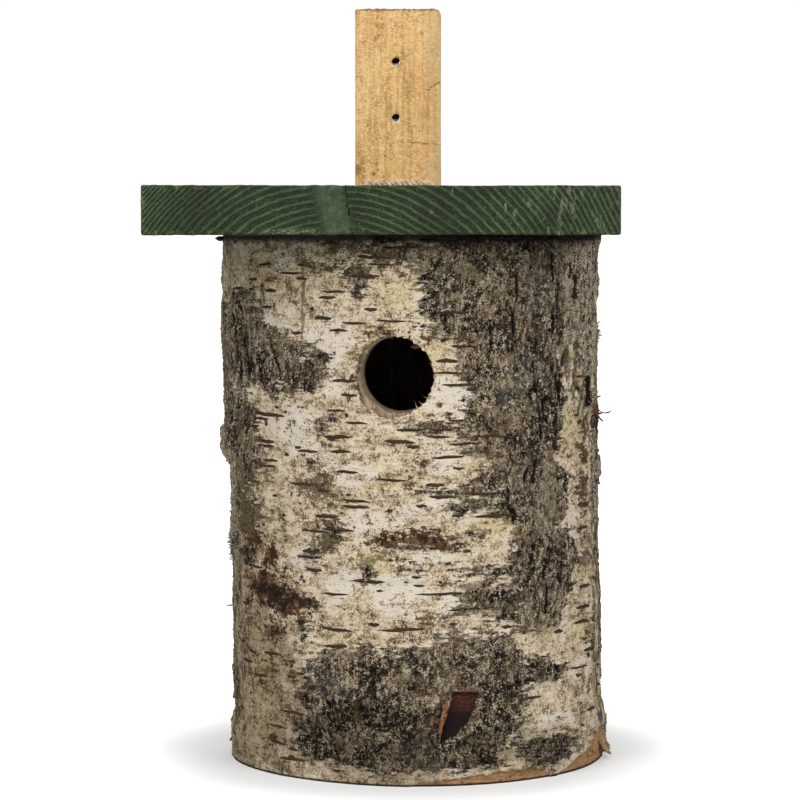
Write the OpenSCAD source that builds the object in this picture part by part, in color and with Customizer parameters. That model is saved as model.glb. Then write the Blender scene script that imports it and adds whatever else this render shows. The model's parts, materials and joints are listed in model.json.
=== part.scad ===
// Log nest box: a birch log with its bark on, bored out and closed below by a nailed floor disc.
// A plank roof lies on the rim, tied by a rope, and lifts at the front for cleaning. A batten is
// screwed to the back, and two holes near its top take the screws that hang the box.
// Millimetres. +Z is up, the entrance faces -Y, and the origin is the middle of the log's foot.

/* [Log] */
// Height of the log
log_h = 230; // [170:1:400]
// Mean width of the log over its bark
log_d = 165; // [150:1:260]
// Thickness of the bark
bark_t = 3; // [2:0.5:6]
// Lean of the log, its top towards the left, in degrees
log_lean = 0.9; // [0:0.1:2]
// Diameter of the bored nest chamber
chamber_d = 120; // [100:1:130]
// Height that the rough bark plates stand proud of the smooth bark
plate_t = 1.2; // [0.6:0.1:2.5]

/* [Entrance] */
// Diameter of the entrance hole
entrance_d = 32; // [25:1:50]
// Distance from the rim down to the middle of the entrance hole
entrance_drop = 58; // [40:1:110]
// Turn of the entrance to the left of the front, in degrees
entrance_turn = 5; // [0:0.5:15]
// Widening of the torn bark round the entrance hole
entrance_tear = 1.6; // [0:0.1:4]

/* [Floor] */
// Thickness of the floor disc
floor_t = 20; // [12:1:30]
// Recess of the floor disc above the foot of the log
floor_recess = 6; // [0:0.5:10]
// Gap between the floor disc and the chamber wall
floor_gap = 0.4; // [0.2:0.1:1]

/* [Roof] */
// Thickness of the roof board
roof_t = 20; // [12:1:30]
// Overhang of the roof past the front of the log
eave_front = 21; // [5:1:60]
// Overhang of the roof past the left side of the log
eave_left = 28.5; // [2:0.5:60]
// Overhang of the roof past the right side of the log
eave_right = 0.5; // [0:0.5:60]
// Gap between the roof board and the rim
roof_gap = 0.3; // [0.2:0.1:1]
// Gap between the roof board and the batten
hinge_gap = 2; // [1:0.5:6]

/* [Batten] */
// Width of the batten
batten_w = 40; // [30:1:60]
// Thickness of the batten
batten_t = 20; // [14:1:30]
// Height of the batten above the roof board
batten_rise = 84; // [60:1:200]
// Height of the batten's lower end above the foot of the log
batten_foot = 10; // [5:1:40]
// Place of the batten to the right of the log's axis
batten_x = -7; // [-12:1:0]
// Diameter of the two hanging holes
hang_d = 4; // [3:0.5:6]
// Distance from the batten's top down to the upper hanging hole
hang_drop = 24.7; // [10:0.1:40]
// Distance between the two hanging holes
hang_pitch = 26.2; // [15:0.1:40]
// Place of the hanging holes to the right of the batten's middle
hang_x = -1; // [-8:0.5:8]

/* [Fixings] */
// Diameter of the batten screws
screw_d = 4; // [3:0.5:5]
// Diameter of the head of a batten screw
screw_head_d = 8; // [6.5:0.5:10]
// Depth that a batten screw bites into the log
screw_bite = 16; // [10:1:22]
// Diameter of the floor nails
nail_d = 1.9; // [1.4:0.1:3]
// Diameter of the head of a floor nail
nail_head_d = 3.2; // [3.2:0.1:6]
// Depth that a floor nail bites into the floor disc
nail_bite = 13.5; // [8:0.5:25]

/* [Rope] */
// Diameter of the rope
rope_d = 4; // [3:0.5:5]
// Distance between the two legs of the rope
rope_pitch = 31; // [20:1:34]
// Distance of the rope's legs in front of the chamber's rear wall
rope_inset = 14; // [12:1:30]
// Distance from the rim down to where the rope enters the wall
rope_drop = 34; // [20:1:60]

/* [Hidden] */

// Clearances and allowances
cut = 5;               // how far a cutter runs past the face that it opens
pilot_gap = 0.1;       // radial gap of a pilot hole round a screw or nail
rope_gap = 1;          // radial gap of the rope holes in the roof
rope_wall_gap = 0.5;   // radial gap of the rope holes in the log wall
seat_gap = 0.2;        // gap under a piece that lies on the uneven bark
head_sink = 0.5;       // depth of the screw heads below the back of the batten

// Outline of the log, slightly out of round as grown
outline_n = 96;
function bark_r(a) = log_d / 2 * (1 + 0.006 * cos(2 * a + 30) + 0.005 * cos(3 * a - 100)
    + 0.003 * cos(5 * a + 60) + 0.0015 * cos(11 * a));
function ring(inset, a0, a1, n) =
    [for (i = [0 : n]) let (a = a0 + (a1 - a0) * i / n) (bark_r(a) - inset) * [cos(a), sin(a)]];
back_y = max([for (p = ring(0, 0, 180, outline_n)) p.y]);
front_y = min([for (p = ring(0, -180, 0, outline_n)) p.y]);
left_x = min([for (p = ring(0, 90, 270, outline_n)) p.x]);
right_x = max([for (p = ring(0, -90, 90, outline_n)) p.x]);

// The lean moves the log's axis sideways with height
function lean_x(z) = (log_h / 2 - z) * tan(log_lean);
function skin_r(a, z) = bark_r(a) + lean_x(z) * cos(a);

// Entrance
entrance_z = log_h - entrance_drop;

// Floor disc and its nails, at angles anticlockwise from +X
floor_d = chamber_d - 2 * floor_gap;
nail_z = floor_recess + floor_t / 2;
nail_head_t = 0.8;
nail_len = (log_d - chamber_d) / 2 + nail_bite;
nail_left_a = -138;
nail_right_a = 10;
nail_back_a = 122;

// Roof board
roof_z = log_h + roof_gap;
roof_top = roof_z + roof_t;
batten_y = back_y + seat_gap;
roof_x0 = left_x - eave_left;
roof_x1 = right_x + eave_right;
roof_y0 = front_y - eave_front;
roof_y1 = batten_y - hinge_gap;

// Batten, its hanging holes and its screws
batten_top = roof_top + batten_rise;
hang_z = [batten_top - hang_drop, batten_top - hang_drop - hang_pitch];
screw_z = [log_h - 75, 55];
screw_head_h = 2.6;
screw_len = batten_t - head_sink + screw_bite;

// Rope: a bight across the roof, two legs down through it, two tails through the log wall
rope_x = [batten_x - rope_pitch / 2, batten_x + rope_pitch / 2];
rope_y = chamber_d / 2 - rope_inset;
rope_z = log_h - rope_drop;
rope_top_bend = 3.5;
rope_wall_bend = 10;
rope_rest_gap = 0.3;
rope_lie_z = roof_top + rope_d / 2 + rope_rest_gap;
rope_end_y = back_y - 5;

// Rough plates: each holds its first and last angle and its lowest and highest point
plate_left = [-190, -120, log_h - 80, log_h - 28];
plate_right = [-70, -38, 60, log_h - 4];
plate_front = [-130, -44, 7, 58];
plate_back = [20, 62, 20, log_h - 40];
plate_steps = 16;

// Slot where a piece of bark has broken away on the right
slot_a = -14;
slot_w = 15;
slot_h = 11;
slot_z = log_h - 69;
slot_deep = 1.8;

// Colours
wood_pale = [0.80, 0.66, 0.46];
birch_white = [0.82, 0.78, 0.68];
crust_grey = [0.29, 0.26, 0.22];
inner_bark = [0.45, 0.24, 0.15];
pine = [0.83, 0.67, 0.43];
roof_green = [0.23, 0.30, 0.20];
steel = [0.45, 0.44, 0.42];
jute = [0.80, 0.70, 0.55];

// Tilts what it holds by the lean of the log, about the log's middle
module leaning() {
    translate([0, 0, log_h / 2]) rotate([0, -log_lean, 0]) translate([0, 0, -log_h / 2]) children();
}

// The log as grown, cut square at foot and rim, its outline drawn in by inset
module log_body(inset) {
    intersection() {
        leaning() translate([0, 0, -cut]) linear_extrude(log_h + 2 * cut)
            polygon(ring(inset, 0, 360 - 360 / outline_n, outline_n - 1));
        translate([-log_d, -log_d, 0]) cube([2 * log_d, 2 * log_d, log_h]);
    }
}

// Places what it holds at an angle round the log, with its X axis pointing out
module around(a, r, z) {
    rotate([0, 0, a]) translate([r, 0, z]) children();
}

module chamber() {
    translate([0, 0, -cut]) cylinder(d = chamber_d, h = log_h + 2 * cut, $fn = 96);
}

module entrance(d) {
    translate([0, 0, entrance_z]) rotate([90, 0, -entrance_turn]) cylinder(d = d, h = log_d, $fn = 64);
}

module rope_wall_holes() {
    for (x = rope_x)
        translate([x, 0, rope_z]) rotate([-90, 0, 0])
            cylinder(d = rope_d + 2 * rope_wall_gap, h = log_d, $fn = 32);
}

// A nail's pilot hole, a little deeper than the nail is long
module nail_hole(a) {
    around(a, skin_r(a, nail_z) - nail_len - pilot_gap, nail_z) rotate([0, 90, 0])
        cylinder(d = nail_d + 2 * pilot_gap, h = nail_len + cut, $fn = 24);
}

module nail_holes() {
    for (a = [nail_left_a, nail_right_a, nail_back_a]) nail_hole(a);
}

module screw_holes() {
    for (z = screw_z)
        translate([batten_x, 0, z]) rotate([-90, 0, 0])
            cylinder(d = screw_d + 2 * pilot_gap, h = log_d, $fn = 32);
}

module slot() {
    around(slot_a, skin_r(slot_a, slot_z) - slot_deep, slot_z)
        translate([0, -slot_w / 2, -slot_h / 2]) cube([slot_deep + cut, slot_w, slot_h]);
}

module log_wall() {
    color(wood_pale) difference() {
        log_body(bark_t);
        chamber();
        entrance(entrance_d);
        rope_wall_holes();
        nail_holes();
        screw_holes();
    }
}

module bark() {
    color(birch_white) difference() {
        log_body(0);
        log_body(bark_t);
        entrance(entrance_d + 2 * entrance_tear);
        rope_wall_holes();
        nail_holes();
        screw_holes();
        slot();
    }
}

// A rough plate: a curved slab that lies on the bark
module rough_plate(spec) {
    leaning() translate([0, 0, spec[2]]) linear_extrude(spec[3] - spec[2])
        polygon(concat(
            ring(-seat_gap - plate_t, spec[0], spec[1], plate_steps),
            ring(-seat_gap, spec[1], spec[0], plate_steps)));
}

module rough_bark_left() { color(crust_grey) rough_plate(plate_left); }

module rough_bark_right() { color(crust_grey) rough_plate(plate_right); }

module rough_bark_front() { color(crust_grey) rough_plate(plate_front); }

module rough_bark_back() { color(crust_grey) rough_plate(plate_back); }

// Stub of bark left standing under the roof, on the left
module bark_tab() {
    tab = [3, 7, 2.4];
    tab_z = log_h - 5;
    color(inner_bark) around(180, skin_r(180, tab_z) + seat_gap, tab_z) translate([0, -tab.y / 2, 0])
        cube(tab);
}

// Torn shred below the slot
module bark_shred() {
    shred = [2.6, 4, 9];
    shred_z = slot_z - slot_h / 2 - shred.z;
    color(inner_bark) around(slot_a, skin_r(slot_a, shred_z) + seat_gap, shred_z)
        translate([0, -shred.y / 2, 0]) cube(shred);
}

// Curled strip of bark low on the front: an open half tube that slants across the bark
module bark_curl() {
    curl_a = -77;
    curl_z = 31;
    curl_r = 3.2;
    curl_len = 21;
    curl_t = 0.8;
    curl_slant = 33;
    color(inner_bark) around(curl_a, skin_r(curl_a, curl_z) + plate_t + 3 * seat_gap + curl_r, curl_z)
        rotate([-curl_slant, 0, 0]) translate([0, 0, -curl_len / 2])
            rotate([0, 0, 60]) rotate_extrude(angle = 130, $fn = 48)
                translate([curl_r - curl_t, 0]) square([curl_t, curl_len]);
}

// Torn corner of bark standing out at the foot, on the right
module bark_flake() {
    flake_a = -14;
    flake_t = 1.2;
    flake_lift = 0.6;
    color(wood_pale) around(flake_a, skin_r(flake_a, 0) + seat_gap, flake_lift)
        translate([0, flake_t / 2, 0]) rotate([90, 0, 0]) linear_extrude(flake_t)
            polygon([[0, 0], [5.5, 0.4], [2.6, 7], [1, 12.5], [0, 12]]);
}

module floor_disc() {
    color(wood_pale) difference() {
        translate([0, 0, floor_recess]) cylinder(d = floor_d, h = floor_t, $fn = 96);
        nail_holes();
    }
}

// A nail driven in towards the log's axis, its head on the bark
module floor_nail(a) {
    color(steel) around(a, skin_r(a, nail_z) + seat_gap, nail_z) rotate([0, 90, 0]) {
        translate([0, 0, -nail_len]) cylinder(d = nail_d, h = nail_len, $fn = 24);
        cylinder(d = nail_head_d, h = nail_head_t, $fn = 24);
    }
}

module floor_nail_left() { floor_nail(nail_left_a); }

module floor_nail_right() { floor_nail(nail_right_a); }

module floor_nail_back() { floor_nail(nail_back_a); }

// Countersunk screw form, its head at the origin and its point towards +Z
module screw_form(extra) {
    cylinder(d1 = screw_head_d + 2 * extra, d2 = screw_d + 2 * extra, h = screw_head_h, $fn = 48);
    cylinder(d = screw_d + 2 * extra, h = screw_len, $fn = 48);
}

module batten_screw_place(i) {
    translate([batten_x, batten_y + batten_t - head_sink, screw_z[i]]) rotate([90, 0, 0]) children();
}

module batten() {
    color(pine) difference() {
        translate([batten_x - batten_w / 2, batten_y, batten_foot])
            cube([batten_w, batten_t, batten_top - batten_foot]);
        for (z = hang_z)
            translate([batten_x + hang_x, batten_y - cut, z]) rotate([-90, 0, 0])
                cylinder(d = hang_d, h = batten_t + 2 * cut, $fn = 48);
        for (i = [0, 1])
            batten_screw_place(i) {
                screw_form(pilot_gap);
                translate([0, 0, -cut]) cylinder(d = screw_head_d + 2 * pilot_gap, h = cut, $fn = 48);
            }
    }
}

module batten_screw_upper() { color(steel) batten_screw_place(0) screw_form(0); }

module batten_screw_lower() { color(steel) batten_screw_place(1) screw_form(0); }

module roof_board() {
    color(roof_green) difference() {
        translate([roof_x0, roof_y0, roof_z]) cube([roof_x1 - roof_x0, roof_y1 - roof_y0, roof_t]);
        for (x = rope_x)
            translate([x, rope_y, roof_z - cut])
                cylinder(d = rope_d + 2 * rope_gap, h = roof_t + 2 * cut, $fn = 32);
    }
}

// A quarter bend of rope that turns from +Z towards +X, starting at the origin
module rope_bend(r) {
    translate([r, 0, 0]) rotate([90, 0, 0]) rotate([0, 0, 90]) rotate_extrude(angle = 90, $fn = 64)
        translate([r, 0]) circle(d = rope_d, $fn = 24);
}

module rope_bight() {
    leg_top = rope_lie_z - rope_top_bend;
    color(jute) for (side = [0, 1])
        translate([rope_x[side], rope_y, 0]) rotate([0, 0, 180 * side]) {
            translate([0, 0, roof_z]) cylinder(d = rope_d, h = leg_top - roof_z, $fn = 24);
            translate([0, 0, leg_top]) rope_bend(rope_top_bend);
            translate([rope_top_bend, 0, rope_lie_z]) rotate([0, 90, 0])
                cylinder(d = rope_d, h = rope_pitch / 2 - rope_top_bend, $fn = 24);
        }
}

// A tail hangs from the roof's underside, then bends back into its hole in the log wall
module rope_tail(x) {
    bend_y = rope_y + rope_wall_bend;
    leg_foot = rope_z + rope_wall_bend;
    color(jute) translate([x, 0, 0]) {
        translate([0, rope_y, leg_foot]) cylinder(d = rope_d, h = log_h - leg_foot, $fn = 24);
        translate([0, rope_y, leg_foot]) rotate([0, 0, 90]) mirror([0, 0, 1]) rope_bend(rope_wall_bend);
        translate([0, bend_y, rope_z]) rotate([-90, 0, 0])
            cylinder(d = rope_d, h = rope_end_y - bend_y, $fn = 24);
    }
}

module rope_tail_left() { rope_tail(rope_x[0]); }

module rope_tail_right() { rope_tail(rope_x[1]); }

log_wall();
bark();
rough_bark_left();
rough_bark_right();
rough_bark_front();
rough_bark_back();
bark_tab();
bark_shred();
bark_curl();
bark_flake();
floor_disc();
floor_nail_left();
floor_nail_right();
floor_nail_back();
batten();
batten_screw_upper();
batten_screw_lower();
rope_tail_left();
rope_tail_right();
roof_board();
rope_bight();
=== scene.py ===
"""Looks of a log nest box: birch bark, bored wood, painted roof, pine batten and twisted rope.

The bark and everything that grows on it is laid out flat, in millimetres: u round the log, v up it
and w out of it. It is then wrapped round the log.
"""

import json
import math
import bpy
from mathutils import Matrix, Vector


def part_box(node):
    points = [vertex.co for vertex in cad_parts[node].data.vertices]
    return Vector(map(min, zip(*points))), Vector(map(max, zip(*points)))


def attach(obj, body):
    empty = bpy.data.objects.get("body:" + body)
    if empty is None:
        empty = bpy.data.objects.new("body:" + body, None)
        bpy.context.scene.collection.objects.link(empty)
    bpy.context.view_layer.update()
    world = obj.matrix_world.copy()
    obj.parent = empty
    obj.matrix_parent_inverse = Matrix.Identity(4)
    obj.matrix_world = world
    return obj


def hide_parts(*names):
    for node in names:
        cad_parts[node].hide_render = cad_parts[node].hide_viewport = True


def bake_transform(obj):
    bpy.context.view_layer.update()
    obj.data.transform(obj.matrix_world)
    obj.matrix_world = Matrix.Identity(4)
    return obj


bl_info = {
    "name": "Log nest box",
    "version": (1, 0, 0),
    "blender": (4, 5, 0),
    "location": "3D View > Sidebar > Nest box",
    "description": "Builds the looks of a log nest box round its packed frame",
    "category": "Object",
}

from types import SimpleNamespace

import bmesh
import bpy
import numpy as np
from mathutils import Matrix, Vector

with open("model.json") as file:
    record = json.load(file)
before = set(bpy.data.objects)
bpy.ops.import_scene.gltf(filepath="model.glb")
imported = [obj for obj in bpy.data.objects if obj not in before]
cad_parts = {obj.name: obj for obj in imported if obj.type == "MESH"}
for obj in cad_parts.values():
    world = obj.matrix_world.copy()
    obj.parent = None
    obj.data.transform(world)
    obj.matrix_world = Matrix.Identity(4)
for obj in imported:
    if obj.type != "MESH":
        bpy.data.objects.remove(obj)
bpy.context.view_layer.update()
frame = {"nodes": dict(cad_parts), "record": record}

MM = 0.001


# ---------------------------------------------------------------- settings

def paint(red, green, blue):
    """A colour for a shader, from its display values out of 255."""
    shares = [c / 255 for c in (red, green, blue)]
    return (*[s / 12.92 if s <= 0.04045 else ((s + 0.055) / 1.055) ** 2.4 for s in shares], 1.0)


def colour_prop(name, red, green, blue):
    """A colour that a user may change, from its display values out of 255."""
    return bpy.props.FloatVectorProperty(
        name=name,
        description=f"Colour of this part of the finish: {name.lower()}",
        subtype="COLOR",
        default=paint(red, green, blue)[:3],
        min=0.0,
        max=1.0,
    )


def length_prop(name, description, millimetres, least=0.05):
    """A length that a user may change, from millimetres."""
    return bpy.props.FloatProperty(
        name=name,
        description=description,
        unit="LENGTH",
        precision=4,
        default=millimetres * MM,
        min=least * MM,
    )


def count_prop(name, description, number):
    """A number of things that a user may change."""
    return bpy.props.IntProperty(name=name, description=description, default=number, min=1)


def power_prop(name, watts):
    """The power of a lamp that a user may change."""
    return bpy.props.FloatProperty(
        name=name, description=f"Power of the {name.lower()}", unit="POWER", default=watts, min=0,
    )


def colours_of(settings):
    """The colours of a group of settings by name, as shaders take them."""
    keys = [p.identifier for p in settings.bl_rna.properties if getattr(p, "array_length", 0) == 3]
    return {key: (*getattr(settings, key), 1.0) for key in keys}


class NESTBOX_PG_bark(bpy.types.PropertyGroup):
    """Mesh spacing and colours of the bark"""

    spacing: length_prop("Mesh spacing", "Gap between the bark's points in front and at the sides", 0.6, 0.4)
    back_spacing: length_prop("Mesh spacing behind", "Gap between the bark's points at the back", 0.8, 0.4)
    white: colour_prop("Newest paper", 210, 200, 186)
    pale: colour_prop("Clean paper", 206, 192, 166)
    cream: colour_prop("Weathered paper", 184, 166, 138)
    lichen: colour_prop("Lichen on paper", 188, 170, 120)
    film: colour_prop("Thin dirt", 158, 141, 112)
    olive: colour_prop("Green dirt", 106, 90, 66)
    speck: colour_prop("Dark specks", 46, 37, 28)
    pit: colour_prop("Shade in pits and cracks", 16, 12, 9)
    crust_dark: colour_prop("Crust hollows", 46, 38, 29)
    crust: colour_prop("Crust", 96, 83, 66)
    crust_light: colour_prop("Crust grains", 174, 158, 132)
    crust_cool: colour_prop("Bluish crust", 82, 86, 84)
    crust_warm: colour_prop("Brown crust", 92, 72, 52)
    crust_pale: colour_prop("Crust ridges", 140, 124, 101)
    fleck: colour_prop("Pale flecks", 212, 200, 178)
    moss: colour_prop("Yellow lichen", 178, 158, 94)
    strip_dark: colour_prop("Strip grooves", 54, 43, 32)
    strip: colour_prop("Fissured strips", 150, 128, 100)
    strip_light: colour_prop("Strip ridges", 222, 206, 178)
    rust_halo: colour_prop("Rust rim", 158, 118, 82)
    rust: colour_prop("Rust stain", 108, 76, 52)
    rust_dark: colour_prop("Rust core", 40, 28, 22)
    bare: colour_prop("Shaved wood", 130, 98, 68)
    bare_light: colour_prop("Pale shaved wood", 184, 146, 106)
    bare_red: colour_prop("Red shaved wood", 126, 76, 50)
    torn: colour_prop("Torn hollow", 36, 25, 26)
    torn_light: colour_prop("Torn inner bark", 62, 38, 30)
    torn_red: colour_prop("Red inner bark", 106, 60, 40)
    soot: colour_prop("Soot", 30, 25, 21)
    smudge: colour_prop("Brown smudges", 58, 45, 32)
    veil: colour_prop("Brown veil", 204, 201, 196)


class NESTBOX_PG_growth(bpy.types.PropertyGroup):
    """Numbers, sizes and colours of what stands on the bark"""

    flakes: count_prop("Loose flakes", "How many small flakes of bark stand off all round", 260)
    flake_thickness: length_prop("Flake thickness", "Thickness of the loose flakes", 0.3)
    tuft_strands: count_prop("Moss strands", "How many strands each tuft of moss has", 30)
    lenticel: colour_prop("Lenticels", 64, 50, 35)
    lenticel_dark: colour_prop("Lenticel hollows", 38, 28, 18)
    fleck: colour_prop("Flecks on scraps", 170, 152, 122)
    loose: colour_prop("Loose bark", 96, 80, 60)
    loose_dark: colour_prop("Loose bark's shade", 50, 38, 28)
    tan: colour_prop("Torn bark", 168, 138, 100)
    tan_dark: colour_prop("Torn bark's shade", 112, 92, 66)
    red: colour_prop("Red shreds", 112, 62, 40)
    red_dark: colour_prop("Red shreds' shade", 62, 34, 24)
    pink: colour_prop("Pink flake", 200, 148, 122)
    lip: colour_prop("Rolled lip", 160, 108, 66)
    moss: colour_prop("Moss", 128, 134, 108)
    moss_dark: colour_prop("Moss's shade", 74, 82, 62)
    splinter: colour_prop("Splinters", 212, 190, 150)
    splinter_dark: colour_prop("Splinters' shade", 150, 122, 84)


class NESTBOX_PG_roof(bpy.types.PropertyGroup):
    """Sizes and colours of the roof board"""

    rope_hole: length_prop("Rope hole radius", "Radius of the two holes for the rope", 3.0, 1.0)
    edge: length_prop("Edge rounding", "Radius of the board's worn edges", 0.8)
    ring_rise: length_prop("Ring height", "Height of the raised year rings on the end grain", 0.3)
    paint: colour_prop("Paint", 42, 52, 29)
    paint_dark: colour_prop("Thick paint", 34, 43, 22)
    paint_deep: colour_prop("Paint pores", 20, 27, 14)
    paint_light: colour_prop("Thin paint", 72, 86, 62)
    paint_ridge: colour_prop("Paint on rings", 86, 102, 74)
    paint_calm: colour_prop("Smooth paint", 50, 63, 45)
    paint_chip: colour_prop("Chipped edges", 104, 108, 58)
    paint_speck: colour_prop("Paint specks", 140, 148, 118)
    paint_crack: colour_prop("Crack", 14, 18, 12)


class NESTBOX_PG_batten(bpy.types.PropertyGroup):
    """Sizes and colours of the batten"""

    edge: length_prop("Edge rounding", "Radius of the batten's worn edges", 0.9)
    bore: length_prop("Screw bore radius", "Radius of the counterbores for the screws", 4.1, 2.0)
    bore_depth: length_prop("Screw bore depth", "Depth of the counterbores for the screws", 3.0)
    fibres: count_prop("Torn fibres", "How many torn fibres half close each hanging hole", 40)
    pine: colour_prop("Pine", 208, 170, 112)
    pine_dark: colour_prop("Pine grain", 172, 134, 80)
    pine_red: colour_prop("Late wood", 186, 138, 88)
    pine_pale: colour_prop("Pale pine", 228, 196, 144)
    pine_knot: colour_prop("Knots and scratches", 112, 76, 42)
    pine_shade: colour_prop("Grey dirt", 158, 120, 70)
    pine_dull: colour_prop("Dull edge", 176, 150, 108)
    fibre_dark: colour_prop("Torn fibres", 40, 26, 18)


class NESTBOX_PG_rope(bpy.types.PropertyGroup):
    """Sizes and colours of the rope"""

    strand: length_prop("Strand radius", "Radius of each of the rope's three strands", 1.0)
    lay: length_prop("Lay", "Length over which the strands make a full turn", 7.2, 2.0)
    stray: count_prop("Stray fibres", "How many loose fibres stand off the rope", 110)
    rope: colour_prop("Rope", 216, 192, 160)
    rope_dark: colour_prop("Rope hollows", 140, 112, 82)


class NESTBOX_PG_finishes(bpy.types.PropertyGroup):
    """Ring spacing and colours of the bored wood and the fixings"""

    ring_gap: length_prop("Ring spacing", "Distance between the year rings of the log", 2.4, 0.5)
    wood: colour_prop("Bored wood", 162, 143, 120)
    wood_dark: colour_prop("Wood grain", 114, 95, 75)
    wood_stain: colour_prop("Wood stain", 138, 120, 102)
    steel: colour_prop("Steel", 112, 104, 96)
    steel_dark: colour_prop("Dull steel", 58, 52, 46)
    steel_rust: colour_prop("Rust on steel", 60, 42, 30)


class NESTBOX_PG_stage(bpy.types.PropertyGroup):
    """Lamps, floor and camera"""

    floor: colour_prop("Floor", 179, 179, 179)
    sky: bpy.props.FloatProperty(
        name="Sky strength",
        description="Strength of the white light from all round",
        subtype="FACTOR",
        default=0.36,
        min=0,
    )
    left_box: power_prop("Left lamp", 12.5)
    right_box: power_prop("Right lamp", 12.0)
    top_box: power_prop("Top lamp", 4.0)
    back_box: power_prop("Back lamp", 9.0)
    lens: bpy.props.FloatProperty(
        name="Lens", description="Focal length of the camera", unit="CAMERA", default=132.3, min=10,
    )


def group_prop(kind, name):
    """A group of settings, named for its pieces."""
    return bpy.props.PointerProperty(type=kind, name=name, description=f"Settings of the {name.lower()}")


class NESTBOX_PG_settings(bpy.types.PropertyGroup):
    """Every setting, by the operator that uses it"""

    stage: group_prop(NESTBOX_PG_stage, "Stage")
    bark: group_prop(NESTBOX_PG_bark, "Bark")
    growth: group_prop(NESTBOX_PG_growth, "Lenticels and loose bark")
    roof: group_prop(NESTBOX_PG_roof, "Roof board")
    batten: group_prop(NESTBOX_PG_batten, "Batten")
    rope: group_prop(NESTBOX_PG_rope, "Rope")
    finishes: group_prop(NESTBOX_PG_finishes, "Wood and fixings")


# ---------------------------------------------------------------- places taken from the frame

def box_mm(node):
    """Lowest and highest corner of a CAD node, in millimetres."""
    return [np.array(corner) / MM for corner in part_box(node)]


def swell(a):
    """How far the log is out of round at an angle, as a share of its mean radius."""
    return (
        1
        + 0.006 * np.cos(2 * a + math.radians(30))
        + 0.005 * np.cos(3 * a - math.radians(100))
        + 0.003 * np.cos(5 * a + math.radians(60))
        + 0.0015 * np.cos(11 * a)
    )


BARK_LOW, BARK_HIGH = box_mm("bark")
ROUND = np.linspace(0, 2 * math.pi, 1441)
LOG_R = (BARK_HIGH[1] - BARK_LOW[1]) / np.ptp(swell(ROUND) * np.sin(ROUND))
LOG_H = BARK_HIGH[2]
GIRTH = 2 * math.pi * LOG_R
LEAN = math.radians(0.9)  # of the log, towards -X as it rises
BARK_T = 3.0  # thickness of the bark under its relief

ENTRANCE_LOW, ENTRANCE_HIGH = (
    np.array(corner) / MM for corner in frame["record"]["physics"]["openings"][0]["box_m"]
)
ENTRANCE_A = -95.0  # direction of the entrance from +X, in degrees
ENTRANCE_V = (ENTRANCE_LOW[2] + ENTRANCE_HIGH[2]) / 2

ROOF_LOW, ROOF_HIGH = box_mm("roof_board")
BATTEN_LOW, BATTEN_HIGH = box_mm("batten")

ROPE_LOW, ROPE_HIGH = box_mm("rope_bight")
ROPE_R = 2.0
ROPE_LEFT, ROPE_RIGHT = ROPE_LOW[0] + ROPE_R, ROPE_HIGH[0] - ROPE_R
ROPE_Y = (ROPE_LOW[1] + ROPE_HIGH[1]) / 2
ROPE_TOP = ROPE_HIGH[2] - ROPE_R


def arc(degrees):
    """Distance round the log, in millimetres, of an angle in degrees from +X."""
    return math.radians(degrees) * LOG_R


def half_turn(degrees):
    """An angle brought between -180 and 180 degrees."""
    return (degrees + 180) % 360 - 180


def wrap(flat):
    """Places in metres of flat points: round, up and out of the log in millimetres."""
    u, v, w = flat.T
    a = u / LOG_R
    r = LOG_R * swell(a) + w
    lean = (LOG_H / 2 - v) * math.tan(LEAN)
    return np.stack([r * np.cos(a) + lean, r * np.sin(a), v], 1) * MM


# ---------------------------------------------------------------- noise over the flat bark

TALL = 512  # rows in a table of noise, more than any pattern uses


def grain(u, v, across, along, seed):
    """Smooth noise from 0 to 1, in cells of the given size, that closes on itself round the log."""
    columns = max(3, round(GIRTH / across))
    table = np.random.default_rng(seed).random((columns, TALL))
    x, y = u / GIRTH * columns, v / along + TALL / 2
    i, j = np.floor(x).astype(int), np.floor(y).astype(int)
    s, t = x - i, y - j
    s, t = s * s * (3 - 2 * s), t * t * (3 - 2 * t)
    i, j, i1, j1 = i % columns, j % TALL, (i + 1) % columns, (j + 1) % TALL
    low = table[i, j] * (1 - s) + table[i1, j] * s
    high = table[i, j1] * (1 - s) + table[i1, j1] * s
    return low * (1 - t) + high * t


def cloud(u, v, across, along, seed, octaves=3, keep=0.5):
    """Layered noise from 0 to 1 about 0.5.

    Each layer's cells are half the size of the last one's, and it keeps a share of its strength.
    """
    total, weight = 0, 0
    for k in range(octaves):
        total = total + keep**k * grain(u, v, across / 2**k, along / 2**k, seed * 31 + k)
        weight += keep**k
    return total / weight


def ripple(*places_and_sizes):
    """Layered noise from -0.5 to 0.5, from what cloud takes."""
    return cloud(*places_and_sizes) - 0.5


def pebbles(u, v, size, seed):
    """Rounded grains packed over the bark: 1 at the middle of a grain, 0 between grains."""
    columns = round(GIRTH / size)
    jitter = np.random.default_rng(seed).random((columns, TALL, 2))
    x, y = u / GIRTH * columns, v / size + TALL / 4
    i, j = np.floor(x).astype(int), np.floor(y).astype(int)
    nearest = np.inf
    for di in (-1, 0, 1):
        for dj in (-1, 0, 1):
            spot = jitter[(i + di) % columns, (j + dj) % TALL]
            gap = (x - i - di - spot[..., 0]) ** 2 + (y - j - dj - spot[..., 1]) ** 2
            nearest = np.minimum(nearest, gap)
    return np.clip(1 - np.sqrt(nearest) / 0.8, 0, 1)


def soft(x, low, high):
    """Smooth step from 0 at low to 1 at high."""
    t = np.clip((x - low) / (high - low), 0, 1)
    return t * t * (3 - 2 * t)


# ---------------------------------------------------------------- what grows where on the bark

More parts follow.
